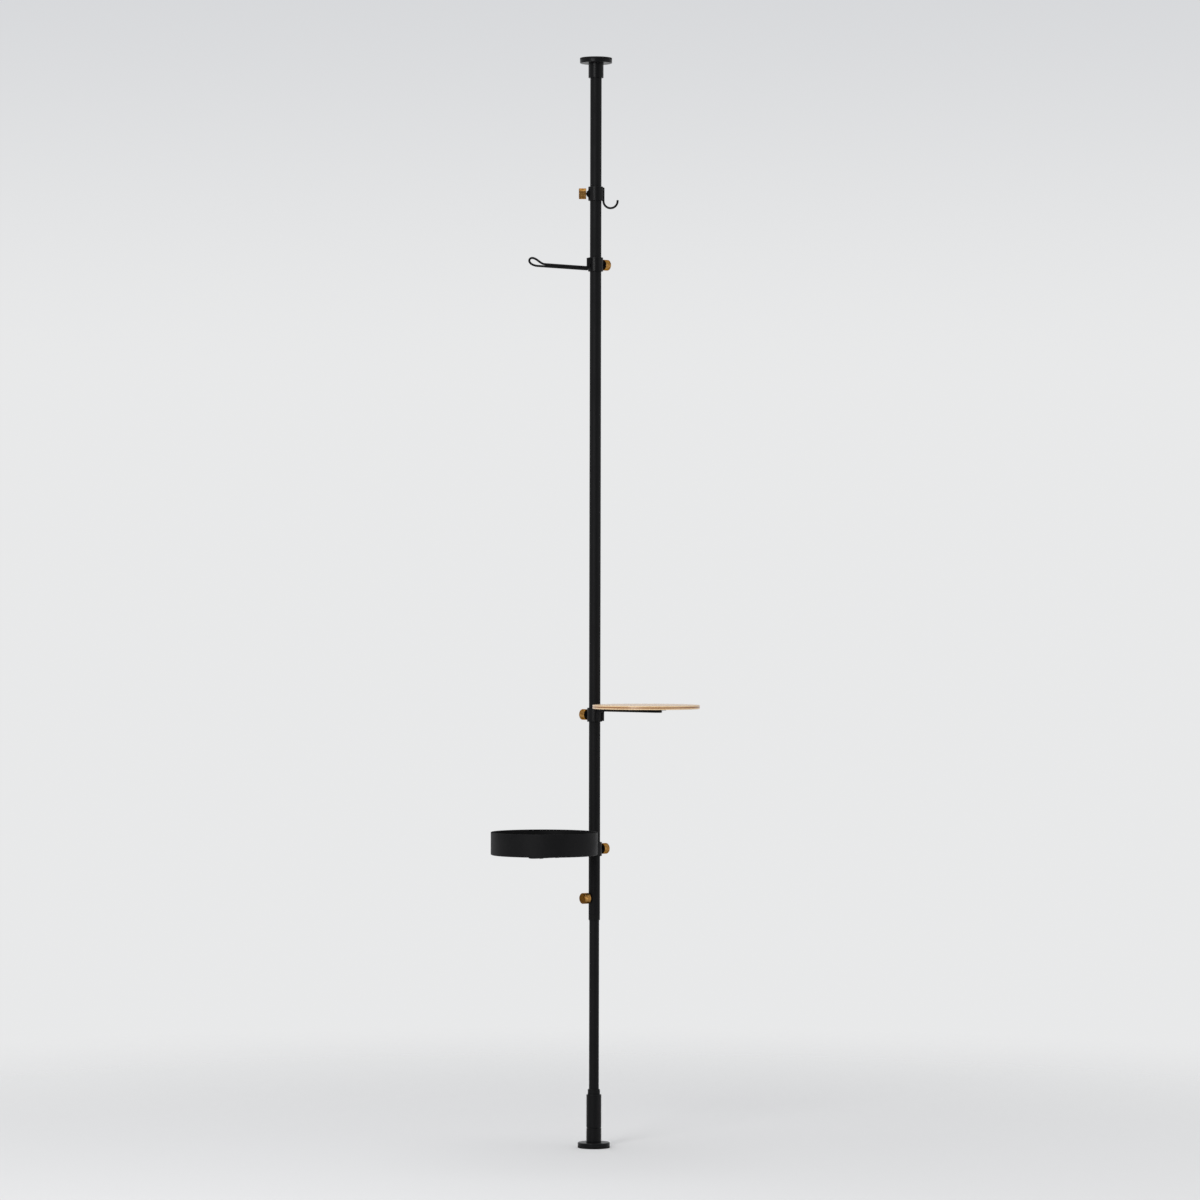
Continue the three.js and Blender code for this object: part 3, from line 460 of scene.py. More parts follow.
def ply_colours(tree, height, fibre):
    """The edge's colour at a share of the thickness: pale and brown plies, with dark glue lines."""
    ramp = node(tree, "ShaderNodeValToRGB", {"Fac": height})
    plies = ramp.color_ramp.elements
    ramp.color_ramp.interpolation = "CONSTANT"
    for ply in range(PLY_COUNT):
        if ply == len(plies):
            plies.new(ply / PLY_COUNT)
        plies[ply].position = ply / PLY_COUNT
        plies[ply].color = CROSS_PLY if ply % 2 else PALE_PLY
    off_seam = math_node(tree, "PINGPONG", math_node(tree, "MULTIPLY", height, float(PLY_COUNT)), 0.5)
    glue = math_node(tree, "MULTIPLY", math_node(tree, "LESS_THAN", off_seam, GLUE_LINE), 0.5)
    pores = math_node(tree, "MAXIMUM", vary(tree, fibre, -0.45, 0.75), 0.0)
    return mix_colour(tree, glue, mix_colour(tree, pores, ramp.outputs["Color"], PORE), GLUE)


def make_plywood():
    material, tree, shader = new_material("lacquered_plywood", specular=0.5)
    grain = use_group(tree, long_fibres, Across_per_metre=1500.0, Stretch=34.0, Turn=0.35)
    use = use_group(tree, signs_of_use, Smudges_per_metre=12.0, Dust=0.05)
    figured = mix_colour(tree, vary(tree, grain["Figure"], -0.5, 1.6), PALE_FACE, WARM_FACE)
    fibre = math_node(tree, "MAXIMUM", vary(tree, grain["Fibre"], -0.55, 0.85), 0.0)
    face = mix_colour(tree, fibre, figured, BROWN_FIBRE)

    coordinates = node(tree, "ShaderNodeTexCoord").outputs
    place = coordinates["Object"]
    ply = math_node(tree, "DIVIDE", part_of(tree, place, "Z"), SHELF_THICKNESS)
    edge = ply_colours(tree, ply, noise(tree, place, EDGE_GRAINS_PER_METRE, 3.0))
    upright = math_node(tree, "ABSOLUTE", part_of(tree, coordinates["Normal"], "Z"))
    bare = mix_colour(tree, math_node(tree, "LESS_THAN", upright, 0.6), face, edge)
    add_surface(tree, shader, bare, use["Dust"], grain["Fibre"], 0.20, 0.36, grain["Fibre"], mm(0.03))
    return material


lacquered_plywood = make_plywood()
print("finish:", lacquered_plywood.name, "with", PLY_COUNT, "plies")


# %% [markdown]
# The screws are blackened steel, and the jack's rod is bright zinc plate over fine drawing lines.

# %% Bare metals
def make_steel(name, dark, light, smooth, rough, metallic, lines_per_metre, specular):
    material, tree, shader = new_material(name, metallic=metallic, specular=specular)
    lines = use_group(tree, turning_lines, Lines_per_metre=lines_per_metre, Wander=mm(0.15))
    use = use_group(tree, signs_of_use, Smudges_per_metre=70.0, Dust=0.05)
    tint = mix_colour(tree, lines["Streak"], dark, light)
    add_surface(tree, shader, tint, use["Dust"], use["Smudge"], smooth, rough, lines["Height"], mm(0.012))
    return material


ZINC = ((0.40, 0.41, 0.43, 1), (0.58, 0.59, 0.61, 1))
OXIDE = ((0.012, 0.012, 0.014, 1), (0.024, 0.024, 0.027, 1))
zinc_plate = make_steel("zinc_plate", *ZINC, 0.25, 0.38, 1.0, 4200.0, 0.5)
black_oxide = make_steel("black_oxide_steel", *OXIDE, 0.34, 0.46, 0.3, 5200.0, 0.4)

finish_of_slot = {
    "black_coat": satin_coat,
    "brass": turned_brass,
    "plywood": lacquered_plywood,
    "rubber": moulded_rubber,
    "nylon": moulded_nylon,
    "zinc_steel": zinc_plate,
    "black_steel": black_oxide,
}
print("finishes:", ", ".join(sorted({made.name for made in finish_of_slot.values()})))

# %% [markdown]
# ## Finishing the solids
#
# Every solid takes the finish of the slot that the record gives it. The end screws, the jack's nut and
# washer, the tube guide and the screw tips sit deep inside and are already the right shape, so they need
# no more than that. All the others are made again below.

# %% Give every node its finish
slot_of_node = {part["node"]: part["material_slot"] for part in frame["record"]["subparts"]}
for name, part in frame["nodes"].items():
    part.data.materials.clear()
    part.data.materials.append(finish_of_slot[slot_of_node[name]])
print("dressed", len(frame["nodes"]), "nodes")

# %% [markdown]
# ## Mesh helpers
#
# Almost everything on the pole was made on a lathe, so it can be drawn as a half section and turned. A
# section is a list of corners, each with its distance from the axis, its height and the radius that
# eases it. Real edges are never sharp, and it is the eased edges that catch the light.

# %% Draw a section
FILLET_STEPS = 4
ROUND_FACES, MEDIUM_FACES, SMALL_FACES = 96, 48, 32  # fewer for holes and screws
ON_AXIS = 1e-9
FINE_EASE, EASE, SOFT_EASE = mm(0.2), mm(0.3), mm(0.4)


def eased(corners, closed):
    """Rounds the (radius, height, ease) corners of a section, and gives its plain points."""
    outline = []
    last = len(corners) - 1
    for index, (radius, height, ease) in enumerate(corners):
        here = Vector((radius, height, 0))
        if not ease or (not closed and index in (0, last)):
            outline.append((here.x, here.y))
            continue
        before = (Vector((*corners[index - 1][:2], 0)) - here).normalized()
        after = (Vector((*corners[(index + 1) % len(corners)][:2], 0)) - here).normalized()
        half = before.angle(after) / 2
        centre = here + (before + after).normalized() * ease / math.sin(half)
        start = here + before * ease / math.tan(half) - centre
        end = here + after * ease / math.tan(half) - centre
        for step in range(FILLET_STEPS + 1):
            way = start.slerp(end, step / FILLET_STEPS).normalized()
            outline.append((centre.x + way.x * ease, centre.y + way.y * ease))
    return outline


def ring_section(inner, outer, base, top, *eases):
    """The corners of a plain ring. Its eases run from the inside's base round to the inside's top."""
    places = (inner, base), (outer, base), (outer, top), (inner, top)
    return [(*place, ease) for place, ease in zip(places, eases)]


# %% Turn a section, and bridge two rings
def bridge(mesh, lower, upper):
    """Joins two rings of vertices with faces. A ring of one vertex is a point on the axis."""
    count = max(len(lower), len(upper))
    for index in range(count):
        after = (index + 1) % count
        corners = [lower[index % len(lower)], lower[after % len(lower)]]
        corners += [upper[after % len(upper)], upper[index % len(upper)]]
        unique = list(dict.fromkeys(corners))
        if len(unique) > 2:
            mesh.faces.new(unique)


def add_ring(mesh, radius, height, faces):
    """A ring of vertices. The radius may be a function of the angle."""
    if not callable(radius) and radius < ON_AXIS:
        return [mesh.verts.new((0, 0, height))]
    ring = []
    for index in range(faces):
        angle = 2 * math.pi * index / faces
        reach = radius(angle) if callable(radius) else radius
        ring.append(mesh.verts.new((reach * math.cos(angle), reach * math.sin(angle), height)))
    return ring


def skin(mesh, rings, closed=False, capped=False):
    """Joins a row of rings. It can be closed on itself, or capped at both ends."""
    for lower, upper in zip(rings, rings[1:]):
        bridge(mesh, lower, upper)
    if closed:
        bridge(mesh, rings[-1], rings[0])
    if capped:
        mesh.faces.new(rings[0])
        mesh.faces.new(rings[-1])
    return mesh


def turned(outline, closed=False, faces=ROUND_FACES):
    """Turns plain (radius, height) points about the Z axis."""
    mesh = bmesh.new()
    return skin(mesh, [add_ring(mesh, *point, faces) for point in outline], closed)


# %% Put a piece in the scene
SHARP_EDGE = math.radians(38)
pieces_made = []


def as_object(name, mesh):
    """An object in the scene, made of a mesh that is used up."""
    data = bpy.data.meshes.new(name)
    mesh.to_mesh(data)
    mesh.free()
    made = bpy.data.objects.new(name, data)
    scene.collection.objects.link(made)
    return made


def add_piece(name, mesh, body, slot, stands_for=(), place=Matrix.Identity(4), finish=None):
    """Makes an object of a mesh, shades it, and lets it ride on its body in place of its nodes."""
    bmesh.ops.recalc_face_normals(mesh, faces=mesh.faces)
    for face in mesh.faces:
        face.smooth = True
    for edge in mesh.edges:
        edge.smooth = edge.calc_face_angle(0) < SHARP_EDGE
    piece = as_object(name, mesh)
    piece.data.materials.append(finish or finish_of_slot[slot])
    piece.matrix_world = place
    shading = piece.modifiers.new("even_shading", "WEIGHTED_NORMAL")
    shading.keep_sharp = True
    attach(piece, body)
    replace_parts(piece, *stands_for)
    pieces_made.append(piece)
    return piece


def add_matt(name, mesh, body, stands_for, place):
    """A piece under the matt coat, as all wire and sheet is."""
    return add_piece(name, mesh, body, "black_coat", stands_for, place, matt_coat)


def add_turned(name, corners, body, slot, stands_for=(), place=Matrix.Identity(4), closed=False,
               finish=None, faces=ROUND_FACES):
    """A turned piece from its eased corners."""
    mesh = turned(eased(corners, closed), closed, faces)
    return add_piece(name, mesh, body, slot, stands_for, place, finish)


# %% Cut one mesh with another
def combined(mesh, other, operation):
    """One mesh joined to another, or cut by it. Both are used up."""
    holders = []
    for part in (mesh, other):
        bmesh.ops.recalc_face_normals(part, faces=part.faces)
        holders.append(as_object("workpiece", part))
    work, tool = holders
    modifier = work.modifiers.new("combine", "BOOLEAN")
    modifier.operation = operation
    modifier.object = tool
    modifier.solver = "EXACT"
    graph = bpy.context.evaluated_depsgraph_get()
    result = bmesh.new()
    result.from_object(work, graph)
    for holder in holders:
        data = holder.data
        bpy.data.objects.remove(holder)
        bpy.data.meshes.remove(data)
    return result


def plain_rod(radius, base, top, faces=ROUND_FACES):
    """A plain cylinder on the Z axis, for cutting holes."""
    return turned([(0, base), (radius, base), (radius, top), (0, top)], faces=faces)


def moved(mesh, matrix):
    """The same mesh, moved."""
    mesh.transform(matrix)
    return mesh


def cut(mesh, tool, place=Matrix.Identity(4)):
    """A mesh with a hole where the tool is put."""
    return combined(mesh, moved(tool, place), "DIFFERENCE")


# %% [markdown]
# ## The two ends
#
# Each end is a rubber pad, a steel flange and a cup. The ceiling's end is the floor's turned over, so
# the same functions make both, in a frame whose zero is the floor or the ceiling. The pad's face is
# moulded with shallow rings for grip. The flange's edge is well rounded, and a dark seam parts it from
# its pad. Only the foot's cup has a step round its top, which stays dark under the turning sleeve.

# %% Sizes of the ends
turned_over = Matrix.Translation((0, 0, cad_high.z)) @ Matrix.Rotation(math.pi, 4, "X")
END_FRAMES = {"foot": Matrix.Identity(4), "ceiling": turned_over}
END_BODIES = {"foot": "foot", "ceiling": "main_pole"}
GRIP_RINGS = [mm(radius) for radius in (12, 18, 24, 30)]
GRIP_WIDTH = mm(1.6)
GRIP_DEPTH = mm(0.7)
GRIP_SLOPE, GRIP_EASE = mm(0.3), mm(0.15)
FLANGE_HOLE_RADIUS = mm(6.3)

tube_radius = span("main_tube")[2]
print("main tube radius", round(tube_radius * 1000, 2), "mm")


# %% Pads
def add_pad(end):
    base, top, radius = span("foot_pad")
    corners = [(0, base, 0)]
    for ring in GRIP_RINGS:
        inner, outer = ring - GRIP_WIDTH / 2, ring + GRIP_WIDTH / 2
        corners += [(inner, base, FINE_EASE), (inner + GRIP_SLOPE, base + GRIP_DEPTH, GRIP_EASE)]
        corners += [(outer - GRIP_SLOPE, base + GRIP_DEPTH, GRIP_EASE), (outer, base, FINE_EASE)]
    corners += [(radius, base, mm(0.8)), (radius, top, EASE), (0, top, 0)]
    add_turned(f"{end}_rubber_pad", corners, END_BODIES[end], "rubber", [f"{end}_pad"], END_FRAMES[end])


# %% Flanges
def add_flange(end):
    base, top, radius = span("foot_flange")
    corners = ring_section(FLANGE_HOLE_RADIUS, radius, base, top, EASE, mm(0.6), mm(1.8), EASE)
    add_turned(
        f"{end}_steel_flange", corners, END_BODIES[end], "black_coat", [f"{end}_flange"],
        END_FRAMES[end], closed=True,
    )


# %% Cups
CUP_EASE = mm(1.0)
SOCKET_DEPTH = {"foot": mm(18), "ceiling": mm(24)}
SOCKET_RADIUS = {"foot": mm(7.3), "ceiling": tube_radius + mm(0.3)}
RELIEF_HEIGHT, RELIEF_DEPTH = mm(1.3), mm(1.6)  # the step round the foot cup's top


def add_cup(end):
    base, top, radius = span("foot_cup")
    socket, floor = SOCKET_RADIUS[end], top - SOCKET_DEPTH[end]
    rim = [(radius, top, CUP_EASE)]
    if end == "foot":
        rim = [
            (radius, top - RELIEF_HEIGHT, EASE),
            (radius - RELIEF_DEPTH, top - RELIEF_HEIGHT, 0),
            (radius - RELIEF_DEPTH, top, 0),
        ]
    corners = [(0, base, 0), (radius, base, SOFT_EASE), *rim]
    corners += [(socket, top, EASE), (socket, floor, EASE), (0, floor, 0)]
    add_turned(
        f"{end}_turned_cup", corners, END_BODIES[end], "black_coat", [f"{end}_cup"], END_FRAMES[end]
    )


for end in END_FRAMES:
    add_pad(end)
    add_flange(end)
    add_cup(end)
print("ends made:", ", ".join(END_FRAMES))

# %% [markdown]
# ## Screw threads
#
# The jack's rod has a coarse thread, and each clamp screw a fine one. A thread is a rod whose radius
# depends on the angle and the height together, so that its crest climbs one pitch in each turn. The last
# turn at each end fades to the root, as a cut thread does.

# %% Threaded rods
THREAD_ROWS = 10  # rows of vertices in one pitch
THREAD_CREST = 0.34  # share of the pitch
THREAD_FLANK = 0.18


def thread_depth_share(phase):
    """How deep the groove is at a share of the pitch: 0 on the crest and 1 in the root."""
    phase %= 1.0
    if phase < THREAD_CREST:
        return 0.0
    if phase < THREAD_CREST + THREAD_FLANK:
        return (phase - THREAD_CREST) / THREAD_FLANK
    if phase < 1.0 - THREAD_FLANK:
        return 1.0
    return (1.0 - phase) / THREAD_FLANK


def threaded(radius, pitch, depth, base, top, faces):
    """A threaded rod on the Z axis, with a chamfer at each end."""
    rows = round((top - base) / pitch * THREAD_ROWS)
    outline = [(0, base), (radius - depth, base)]
    for row in range(1, rows):
        height = base + (top - base) * row / rows
        fade = min(1.0, (height - base) / pitch, (top - height) / pitch)

        def reach(angle, height=height, fade=fade):
            share = thread_depth_share(height / pitch - angle / (2 * math.pi))
            return radius - depth * max(share, 1.0 - fade)

        outline.append((reach, height))
    outline += [(radius - depth, top), (0, top)]
    return turned(outline, faces=faces)


# %% The jack
JACK_PITCH = mm(3)
JACK_THREAD_DEPTH = mm(1.5)
JACK_FACES = 64

rod_base, rod_top, rod_radius = span("jack_rod")
rod_mesh = threaded(rod_radius, JACK_PITCH, JACK_THREAD_DEPTH, rod_base, rod_top, JACK_FACES)
add_piece("jack_threaded_rod", rod_mesh, "foot", "zinc_steel", ["jack_rod"])

SLEEVE_WALL = mm(2)
SLEEVE_LIP = mm(3)
NECK_RADIUS = mm(14.25)
NECK_CLEARANCE = mm(0.3)

sleeve_base, sleeve_top, sleeve_radius = span("adjuster_sleeve")
neck_skirt, neck_top, skirt_radius = span("neck_bush")
lower_radius = span("lower_tube")[2]
bore = sleeve_radius - SLEEVE_WALL
lip = NECK_RADIUS + NECK_CLEARANCE
sleeve_corners = [
    (bore, sleeve_base, SOFT_EASE),
    (sleeve_radius, sleeve_base, mm(0.7)),
    (sleeve_radius, sleeve_top, mm(0.8)),
    (lip, sleeve_top, EASE),
    (lip, sleeve_top - SLEEVE_LIP, 0),
    (bore, sleeve_top - SLEEVE_LIP, 0),
]
add_turned(
    "jack_turning_sleeve", sleeve_corners, "adjuster", "black_coat", ["adjuster_sleeve"], closed=True
)
shoulder = sleeve_top - SLEEVE_LIP - NECK_CLEARANCE
neck_bore = lower_radius + NECK_CLEARANCE
neck_corners = [
    (neck_bore, neck_skirt, EASE),
    (skirt_radius, neck_skirt, EASE),
    (skirt_radius, shoulder, EASE),
    (NECK_RADIUS, shoulder, EASE),
    (NECK_RADIUS, neck_top, mm(1.5)),
    (neck_bore, neck_top, EASE),
]
add_turned("neck_guide_bush", neck_corners, "lower_pole", "nylon", ["neck_bush"], closed=True)
print("jack made; rod", round((rod_top - rod_base) * 1000, 1), "mm long")

# %% [markdown]
# ## Tubes
#
# The main tube slides over the thinner lower tube. Both are plain drawn tube under powder coat, so their
# whole look is the coat's skin and their cleanly eased ends. A nylon bush closes the main tube's lower
# end and guides the lower tube.

# %% Tubes and the end bush
TUBE_WALLS = {"main_tube": mm(1.2), "lower_tube": mm(1.5)}
TUBE_BODIES = {"main_tube": "main_pole", "lower_tube": "lower_pole"}
for tube, wall in TUBE_WALLS.items():
    base, top, radius = span(tube)
    corners = ring_section(radius - wall, radius, base, top, EASE, SOFT_EASE, SOFT_EASE, EASE)
    add_turned(
        f"coated_{tube}", corners, TUBE_BODIES[tube], "black_coat", [tube], closed=True, finish=matt_coat
    )

bush_base, bush_top, bush_radius = span("tube_end_bush")
bush_corners = ring_section(neck_bore, bush_radius, bush_base, bush_top, SOFT_EASE, mm(1.2), EASE, EASE)
add_turned("main_tube_end_bush", bush_corners, "main_pole", "nylon", ["tube_end_bush"], closed=True)
print("tubes made:", ", ".join(TUBE_WALLS))

# %% [markdown]
# ## Where each clamp sits
#
# Each accessory has its own frame. Its origin is the middle of the collar on the pole's axis, and its X
# points the way the accessory reaches. The thumb screw stands at the back, so its own frame is that one
# tipped until Z points backwards. The height comes from a node's box and the direction from the joint on
# which the screw travels.

# %% Frames of the clamps
OWNERS = ("lock", "hook", "arm", "shelf", "tray")
joint_axis = {joint["name"]: Vector(joint["axis"]) for joint in frame["joints"]}


def owner_frame(owner):
    low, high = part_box(f"{owner}_knob")
    outward = joint_axis[f"{owner}_screw_travel"]
    turn = Matrix.Rotation(math.atan2(-outward.y, -outward.x), 4, "Z")
    return Matrix.Translation((0, 0, (low.z + high.z) / 2)) @ turn


frames = {owner: owner_frame(owner) for owner in OWNERS}
backwards = Matrix.Rotation(math.radians(-90), 4, "Y")
collar_low, collar_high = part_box("hook_collar")
collar_radius = (collar_high.y - collar_low.y) / 2
collar_half = (collar_high.z - collar_low.z) / 2
surface_radius = {owner: collar_radius for owner in OWNERS}
surface_radius["lock"] = tube_radius
print("collar radius", round(collar_radius * 1000, 2), "mm")

# %% [markdown]
# ## Thumb knobs
#
# A knob is a brass cup, turned from bar, with its black core pressed in from behind. Its front edge has
# a broad chamfer and its end is slightly dished, so a ring of light sits inside the rim. The screw
# stands in the core, and a little of it shows between core and boss.

# %% Knobs, cores and screws
KNOB_STANDOFF = mm(4.8)
KNOB_CHAMFER = mm(1.2)
KNOB_DISH = mm(0.35)
KNOB_LAND = mm(1.5)
KNOB_WALL = mm(2.2)
CORE_CLEARANCE = mm(0.3)
CORE_DISH_DEPTH, CORE_DISH_FLOOR, CORE_DISH_RADIUS = mm(1.2), mm(3.3), mm(4.2)
SCREW_RADIUS = mm(3)
SCREW_PITCH = mm(1)
SCREW_THREAD_DEPTH = mm(0.55)

core_low, core_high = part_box("hook_knob_core")
core_length = core_high.x - core_low.x


def add_knob(owner, place, body):
    cavity = knob_radius - KNOB_WALL
    depth = core_length + CORE_CLEARANCE
    flat = knob_radius - KNOB_CHAMFER - KNOB_LAND
    corners = [
        (0, depth, 0),
        (cavity, depth, 0),
        (cavity, 0, mm(0.25)),
        (knob_radius, 0, mm(0.6)),
        (knob_radius, knob_length - KNOB_CHAMFER, mm(0.5)),
        (knob_radius - KNOB_CHAMFER, knob_length, SOFT_EASE),
        (flat, knob_length, SOFT_EASE),
        (flat - mm(1.0), knob_length - KNOB_DISH, mm(0.6)),
        (0, knob_length - KNOB_DISH, 0),
    ]
    add_turned(f"{owner}_brass_knob", corners, body, "brass", [f"{owner}_knob"], place)


def add_core(owner, place, body):
    radius = knob_radius - KNOB_WALL - CORE_CLEARANCE
    corners = [
        (0, CORE_DISH_DEPTH, 0),
        (CORE_DISH_FLOOR, CORE_DISH_DEPTH, FINE_EASE),
        (CORE_DISH_RADIUS, 0, SOFT_EASE),
        (radius, 0, mm(0.6)),
        (radius, core_length, EASE),
        (0, core_length, 0),
    ]
    add_turned(f"{owner}_black_core", corners, body, "nylon", [f"{owner}_knob_core"], place)


# %% Make the five thumb screws
def screw_reach(owner):
    """A clamp screw's two ends, as distances from the pole's axis."""
    outward = joint_axis[f"{owner}_screw_travel"]
    part = frame["nodes"][f"{owner}_clamp_screw"].data
    along = [vertex.co.dot(outward) for vertex in part.vertices]
    return min(along), max(along)


def add_thumb_screw(owner):
    body = f"{owner}_thumb_screw"
    clamp = frames[owner] @ backwards
    place = clamp @ Matrix.Translation((0, 0, surface_radius[owner] + KNOB_STANDOFF))
    add_knob(owner, place, body)
    add_core(owner, place, body)
    base, top = screw_reach(owner)
    mesh = threaded(SCREW_RADIUS, SCREW_PITCH, SCREW_THREAD_DEPTH, base, top, SMALL_FACES)
    nodes = [f"{owner}_clamp_screw"]
    add_piece(f"{owner}_threaded_screw", mesh, body, "black_steel", nodes, clamp)


for owner in OWNERS:
    add_thumb_screw(owner)
print("thumb screws made:", len(OWNERS))

# %% [markdown]
# ## Bosses and collars
#
# The boss that takes a clamp screw grows out of a round surface, so its foot is not flat. Each point of
# its skin is set out from the round surface: the cone gives the height above it, and the foot runs out
# to nothing in a small fillet. That skin is closed underneath, joined to the collar, and drilled.

# %% A boss on a round surface
BOSS_TIP_RADIUS = mm(5.5)
BOSS_HEIGHT = mm(3.8)
BOSS_BURIED, LOCK_BOSS_BURIED = mm(0.6), mm(0.2)
SCREW_HOLE_RADIUS = mm(3.3)
BOSS_ROWS = 8
BOSS_FILLET_FROM = 0.3  # share of its height at which its fillet starts
BOSS_TIP_CHAMFER, BOSS_TIP_DROP = mm(0.5), mm(0.35)


def boss_section(foot_radius, fillet):
    """(distance from the boss's axis, height above the round surface), from the tip outwards."""
    points = [(BOSS_TIP_RADIUS - BOSS_TIP_CHAMFER, BOSS_HEIGHT)]
    points.append((BOSS_TIP_RADIUS, BOSS_HEIGHT - BOSS_TIP_DROP))
    slope = (foot_radius - BOSS_TIP_RADIUS) / BOSS_HEIGHT
    low = BOSS_HEIGHT * BOSS_FILLET_FROM
    start = Vector((BOSS_TIP_RADIUS + slope * (BOSS_HEIGHT - low), low))
    corner = Vector((foot_radius, 0))
    end = Vector((foot_radius + fillet, 0))
    for row in range(BOSS_ROWS + 1):
        t = row / BOSS_ROWS
        point = start * (1 - t) ** 2 + corner * 2 * t * (1 - t) + end * t**2
        points.append((point.x, point.y))
    return points


def boss_mesh(foot_radius, fillet, round_radius, buried):
    """A boss that points along +Z, standing on a cylinder whose axis is X."""
    mesh = bmesh.new()
    section = boss_section(foot_radius, fillet)
    rim = section[-1][0]
    rows = [(0, None)] + section + [(rim, -buried), (0, -buried)]
    rings = []
    for distance, height in rows:
        if distance == 0:
            level = round_radius + (BOSS_HEIGHT if height is None else height)
            rings.append([mesh.verts.new((0, 0, level))])
            continue
        ring = []
        for index in range(ROUND_FACES):
            angle = 2 * math.pi * index / ROUND_FACES
            side = distance * math.sin(angle)
            surface = math.sqrt(round_radius**2 - side**2)
            blend = max(0.0, min(1.0, height / BOSS_HEIGHT))
            level = surface * (1 - blend) + round_radius * blend + height
            ring.append(mesh.verts.new((distance * math.cos(angle), side, level)))
        rings.append(ring)
    return skin(mesh, rings)


# %% Collars
LOCK_BOSS_FOOT = mm(6.2)
LOCK_BOSS_FILLET = mm(0.3)
COLLAR_BOSS_FOOT = mm(8)
COLLAR_BOSS_FILLET = mm(1.6)
COLLAR_WALL = mm(2.7)
COLLAR_EASE = mm(0.8)
HOOK_LEG_DISTANCE = collar_radius + mm(0.45)
WIRE_RADIUS = mm(2.5)
GROOVE_CLEARANCE = mm(0.1)
CUTTER_REACH = mm(20)  # enough to take a cutter right through


def drill(surface):
    """A cutter for a clamp screw's hole, from the pole's axis out through a surface."""
    return plain_rod(SCREW_HOLE_RADIUS, 0, surface + CUTTER_REACH, faces=MEDIUM_FACES)


def add_collar(owner):
    inside = collar_radius - COLLAR_WALL
    eases = EASE, COLLAR_EASE, COLLAR_EASE, EASE
    corners = ring_section(inside, collar_radius, -collar_half, collar_half, *eases)
    band = turned(eased(corners, closed=True), closed=True, faces=ROUND_FACES * 2)
    boss = moved(boss_mesh(COLLAR_BOSS_FOOT, COLLAR_BOSS_FILLET, collar_radius, BOSS_BURIED), backwards)
    mesh = cut(combined(band, boss, "UNION"), drill(collar_radius), backwards)
    if owner == "hook":
        groove = plain_rod(WIRE_RADIUS + GROOVE_CLEARANCE, -collar_half * 2, collar_half * 2)
        mesh = cut(mesh, groove, Matrix.Translation((HOOK_LEG_DISTANCE, 0, 0)))
    add_piece(f"{owner}_coated_collar", mesh, owner, "black_coat", [f"{owner}_collar"], frames[owner])


for owner in OWNERS[1:]:
    add_collar(owner)

lock_mesh = boss_mesh(LOCK_BOSS_FOOT, LOCK_BOSS_FILLET, tube_radius, LOCK_BOSS_BURIED)
lock_mesh = moved(cut(lock_mesh, drill(tube_radius)), backwards)
add_piece("lock_coated_boss", lock_mesh, "main_pole", "black_coat", ["lock_boss"], frames["lock"])
print("collars made:", ", ".join(OWNERS[1:]))

# %% [markdown]
# Inside each collar is a thin nylon liner, so that steel doesn't scratch steel. It is slit down one side,
# which lets it be sprung in, and its ends show as a fine dark ring above and below.

# %% Liners
LINER_INNER = mm(13.6)
LINER_OUTER = mm(14.6)
LINER_RECESS = mm(0.5)
SLIT_WIDTH = mm(2.45)


def box_mesh(low, high):
    """A plain box, for cutting a slit."""
    mesh = bmesh.new()
    bmesh.ops.create_cube(mesh, size=1)
    middle, size = (Vector(low) + Vector(high)) / 2, Vector(high) - Vector(low)
    mesh.transform(Matrix.Translation(middle) @ Matrix.Diagonal((*size, 1)))
    return mesh


def add_liner(owner):
    half = collar_half - LINER_RECESS
    corners = ring_section(LINER_INNER, LINER_OUTER, -half, half, EASE, FINE_EASE, FINE_EASE, EASE)
    slit = box_mesh((-SLIT_WIDTH / 2, 0, -collar_half), (SLIT_WIDTH / 2, CUTTER_REACH, collar_half))
    ring = cut(turned(eased(corners, closed=True), closed=True), slit)
    ring = cut(ring, drill(collar_radius), backwards)
    body = f"{owner}_slider"
    add_piece(f"{owner}_nylon_liner", ring, body, "nylon", [f"{owner}_liner"], frames[owner])


for owner in OWNERS[1:]:
    add_liner(owner)
print("liners made:", len(OWNERS) - 1)

# %% [markdown]
# ## Bent wire
#
# Hook, arm and brackets are bent from one size of round wire. A bender feeds the wire straight, bends it
# round a former, and feeds on, so the centreline is written the same way. A ring of vertices is carried
# along it without twisting, and the cut ends are eased.

# %% A wire's centreline
AWAY, BACK = Vector((1, 0, 0)), Vector((-1, 0, 0))
SIDE = Vector((0, 1, 0))
UP, DOWN = Vector((0, 0, 1)), Vector((0, 0, -1))
QUARTER, HALF = math.pi / 2, math.pi
BEND_STEPS_PER_QUARTER = 14
SWEEP_STEPS = 24


